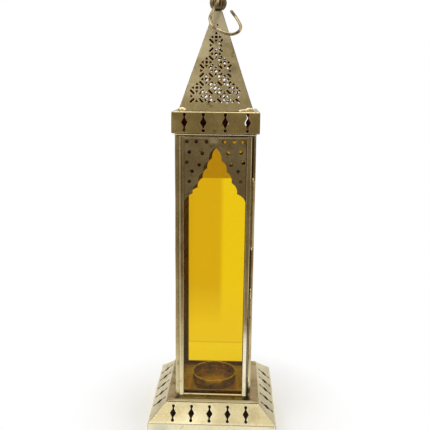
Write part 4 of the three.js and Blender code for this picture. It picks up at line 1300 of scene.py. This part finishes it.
# A round disc of rings, closer together near the lantern: their radius is a share of the whole, to a power.
def makeFloor(look):
    sides = look["sides"]
    outer = np.linspace(look["secondShare"], 1, look["rings"]) ** look["crowding"]
    radius = np.concatenate([[look["firstShare"]], outer]) * look["radius"]
    turn = np.linspace(0, 2 * math.pi, sides, endpoint=False)
    rows = np.stack([np.outer(radius, np.cos(turn)), np.outer(radius, np.sin(turn)),
                     np.full((len(radius), sides), -look["drop"])], -1)
    index = np.arange(len(radius) * sides).reshape(len(radius), sides)
    aside = np.roll(index, -1, 1)
    faces = np.stack([index[:-1], index[1:], aside[1:], aside[:-1]], -1).reshape(-1, 4)
    mesh = bpy.data.meshes.new("floor")
    mesh.from_pydata(rows.reshape(-1, 3).tolist(), [], faces.tolist())
    mesh.materials.append(paleFloorPaintedShadow(look))
    floor = bpy.data.objects.new("floor", mesh)
    bpy.context.scene.collection.objects.link(floor)


# Pale card: matt near the lantern, with a painted shadow in dark brown under the base, and an even white
# farther out.
def paleFloorPaintedShadow(look):
    material, tree = newMaterial("paleFloorPaintedShadow")
    place = addNode(tree, "ShaderNodeTexCoord")["Object"]
    axes = addNode(tree, "ShaderNodeSeparateXYZ", {0: place})
    seen, mirrored = visibleShare(tree)
    start, whole = look["paper"]
    inRoom = addNode(tree, "ShaderNodeMapRange", {"Value": axes["Y"], "From Min": start, "From Max": whole,
                                                  "To Max": mirrored})[0]
    tone = addNode(tree, "ShaderNodeMix", {0: inRoom, 6: white, 7: hexColour(look["room"])},
                   data_type="RGBA")[2]
    dimmed = addNode(tree, "ShaderNodeMapRange", {"Value": inRoom, "To Min": 1.0,
                                                  "To Max": look["roomLow"]})[0]
    level = addNode(tree, "ShaderNodeMath", {0: seen, 1: dimmed}, operation="MULTIPLY")[0]
    # Painted shadow: the square under the base, out to underHalf, turns to the under colour.
    spans = [addNode(tree, "ShaderNodeMath", {0: axes[axis]}, operation="ABSOLUTE")[0] for axis in "XY"]
    span = addNode(tree, "ShaderNodeMath", {0: spans[0], 1: spans[1]}, operation="MAXIMUM")[0]
    paintedShadow = addNode(tree, "ShaderNodeMapRange", {"Value": span, "From Min": look["underHalf"],
                                                   "From Max": look["underHalf"] - look["underEdge"]})[0]
    ground = addNode(tree, "ShaderNodeMix", {0: paintedShadow, 6: hexColour(look["floor"]),
                                             7: hexColour(look["under"])}, data_type="RGBA")[2]
    pale = addNode(tree, "ShaderNodeBsdfPrincipled", {
        "Base Color": ground, "Roughness": look["floorRough"], "Specular IOR Level": look["floorShine"]})[0]
    bright = addNode(tree, "ShaderNodeEmission", {"Color": tone, "Strength": level})[0]
    away = addNode(tree, "ShaderNodeVectorMath", {0: place}, operation="LENGTH")["Value"]
    start, whole = look["fade"]
    share = addNode(tree, "ShaderNodeMapRange", {"Value": away, "From Min": start, "From Max": whole})[0]
    mixed = addNode(tree, "ShaderNodeMixShader", {0: share, 1: pale, 2: bright})[0]
    addNode(tree, "ShaderNodeOutputMaterial", {"Surface": mixed})
    return material


# The world lights the lantern at the ambient level, shows white, and to mirrored rays shows the room in
# front, low down, and paler walls to the sides and behind.
def makeWorld(look):
    world = bpy.data.worlds.new("studio")
    bpy.context.scene.world = world
    world.use_nodes = True
    tree = world.node_tree
    tree.nodes.clear()
    seen, mirrored = visibleShare(tree)
    axes = addNode(tree, "ShaderNodeSeparateXYZ", {0: addNode(tree, "ShaderNodeTexCoord")["Generated"]})
    start, whole = look["roomAhead"]
    inRoom = addNode(tree, "ShaderNodeMapRange", {"Value": axes["Y"], "From Min": start, "From Max": whole,
                                                  "To Max": mirrored})[0]
    low, high = look["overhead"]
    front = addNode(tree, "ShaderNodeMapRange", {
        "Value": axes["Z"], "From Min": low, "From Max": high, "To Min": look["roomLow"],
        "To Max": look["roomHigh"]})[0]
    warm = addNode(tree, "ShaderNodeMapRange", {"Value": axes["Z"], "From Min": high, "From Max": low,
                                                "To Max": inRoom})[0]
    start, whole = look["sideways"]
    walls = addNode(tree, "ShaderNodeMapRange", {
        "Value": axes["Y"], "From Min": start, "From Max": whole, "To Min": look["behindLevel"],
        "To Max": look["sidesLevel"]})[0]
    level = addNode(tree, "ShaderNodeMapRange", {"Value": mirrored, "To Min": 1.0, "To Max": walls})[0]
    level = addNode(tree, "ShaderNodeMapRange", {"Value": inRoom, "To Min": level, "To Max": front})[0]
    level = addNode(tree, "ShaderNodeMapRange", {"Value": seen, "To Min": look["ambient"],
                                                 "To Max": level})[0]
    tone = addNode(tree, "ShaderNodeMix", {0: warm, 6: white, 7: hexColour(look["room"])},
                   data_type="RGBA")[2]
    shine = addNode(tree, "ShaderNodeBackground", {"Color": tone, "Strength": level})[0]
    addNode(tree, "ShaderNodeOutputWorld", {"Surface": shine})


lampTarget = np.array([0, 0, 0.2])
lamps = [
    {"name": "keySoftbox", "at": (-0.9, -1.0, 1.25), "size": 1.1, "watts": 9},
    {"name": "fillSoftbox", "at": (1.2, -0.6, 0.8), "size": 1.0, "watts": 3.5},
    {"name": "topSoftbox", "at": (0.1, 0.3, 1.7), "size": 0.9, "watts": 7},
]


# A square area lamp shines along its own -Z, so its Z axis points from the target to the lamp.
def makeLamp(lamp):
    light = bpy.data.lights.new(lamp["name"], "AREA")
    light.size, light.energy = lamp["size"], lamp["watts"]
    holder = bpy.data.objects.new(lamp["name"], light)
    bpy.context.scene.collection.objects.link(holder)
    back = np.array(lamp["at"]) - lampTarget
    back /= np.linalg.norm(back)
    side = np.cross([0, 0, 1.0], back)
    side /= np.linalg.norm(side)
    turn = np.eye(4)
    turn[:3, 0], turn[:3, 1], turn[:3, 2], turn[:3, 3] = side, np.cross(back, side), back, lamp["at"]
    holder.matrix_world = turn.T.tolist()


makeFloor(stageLook)
makeWorld(stageLook)
for lamp in lamps:
    makeLamp(lamp)
bpy.context.scene.view_settings.view_transform = "Standard"
print("lantern: stage and light made")
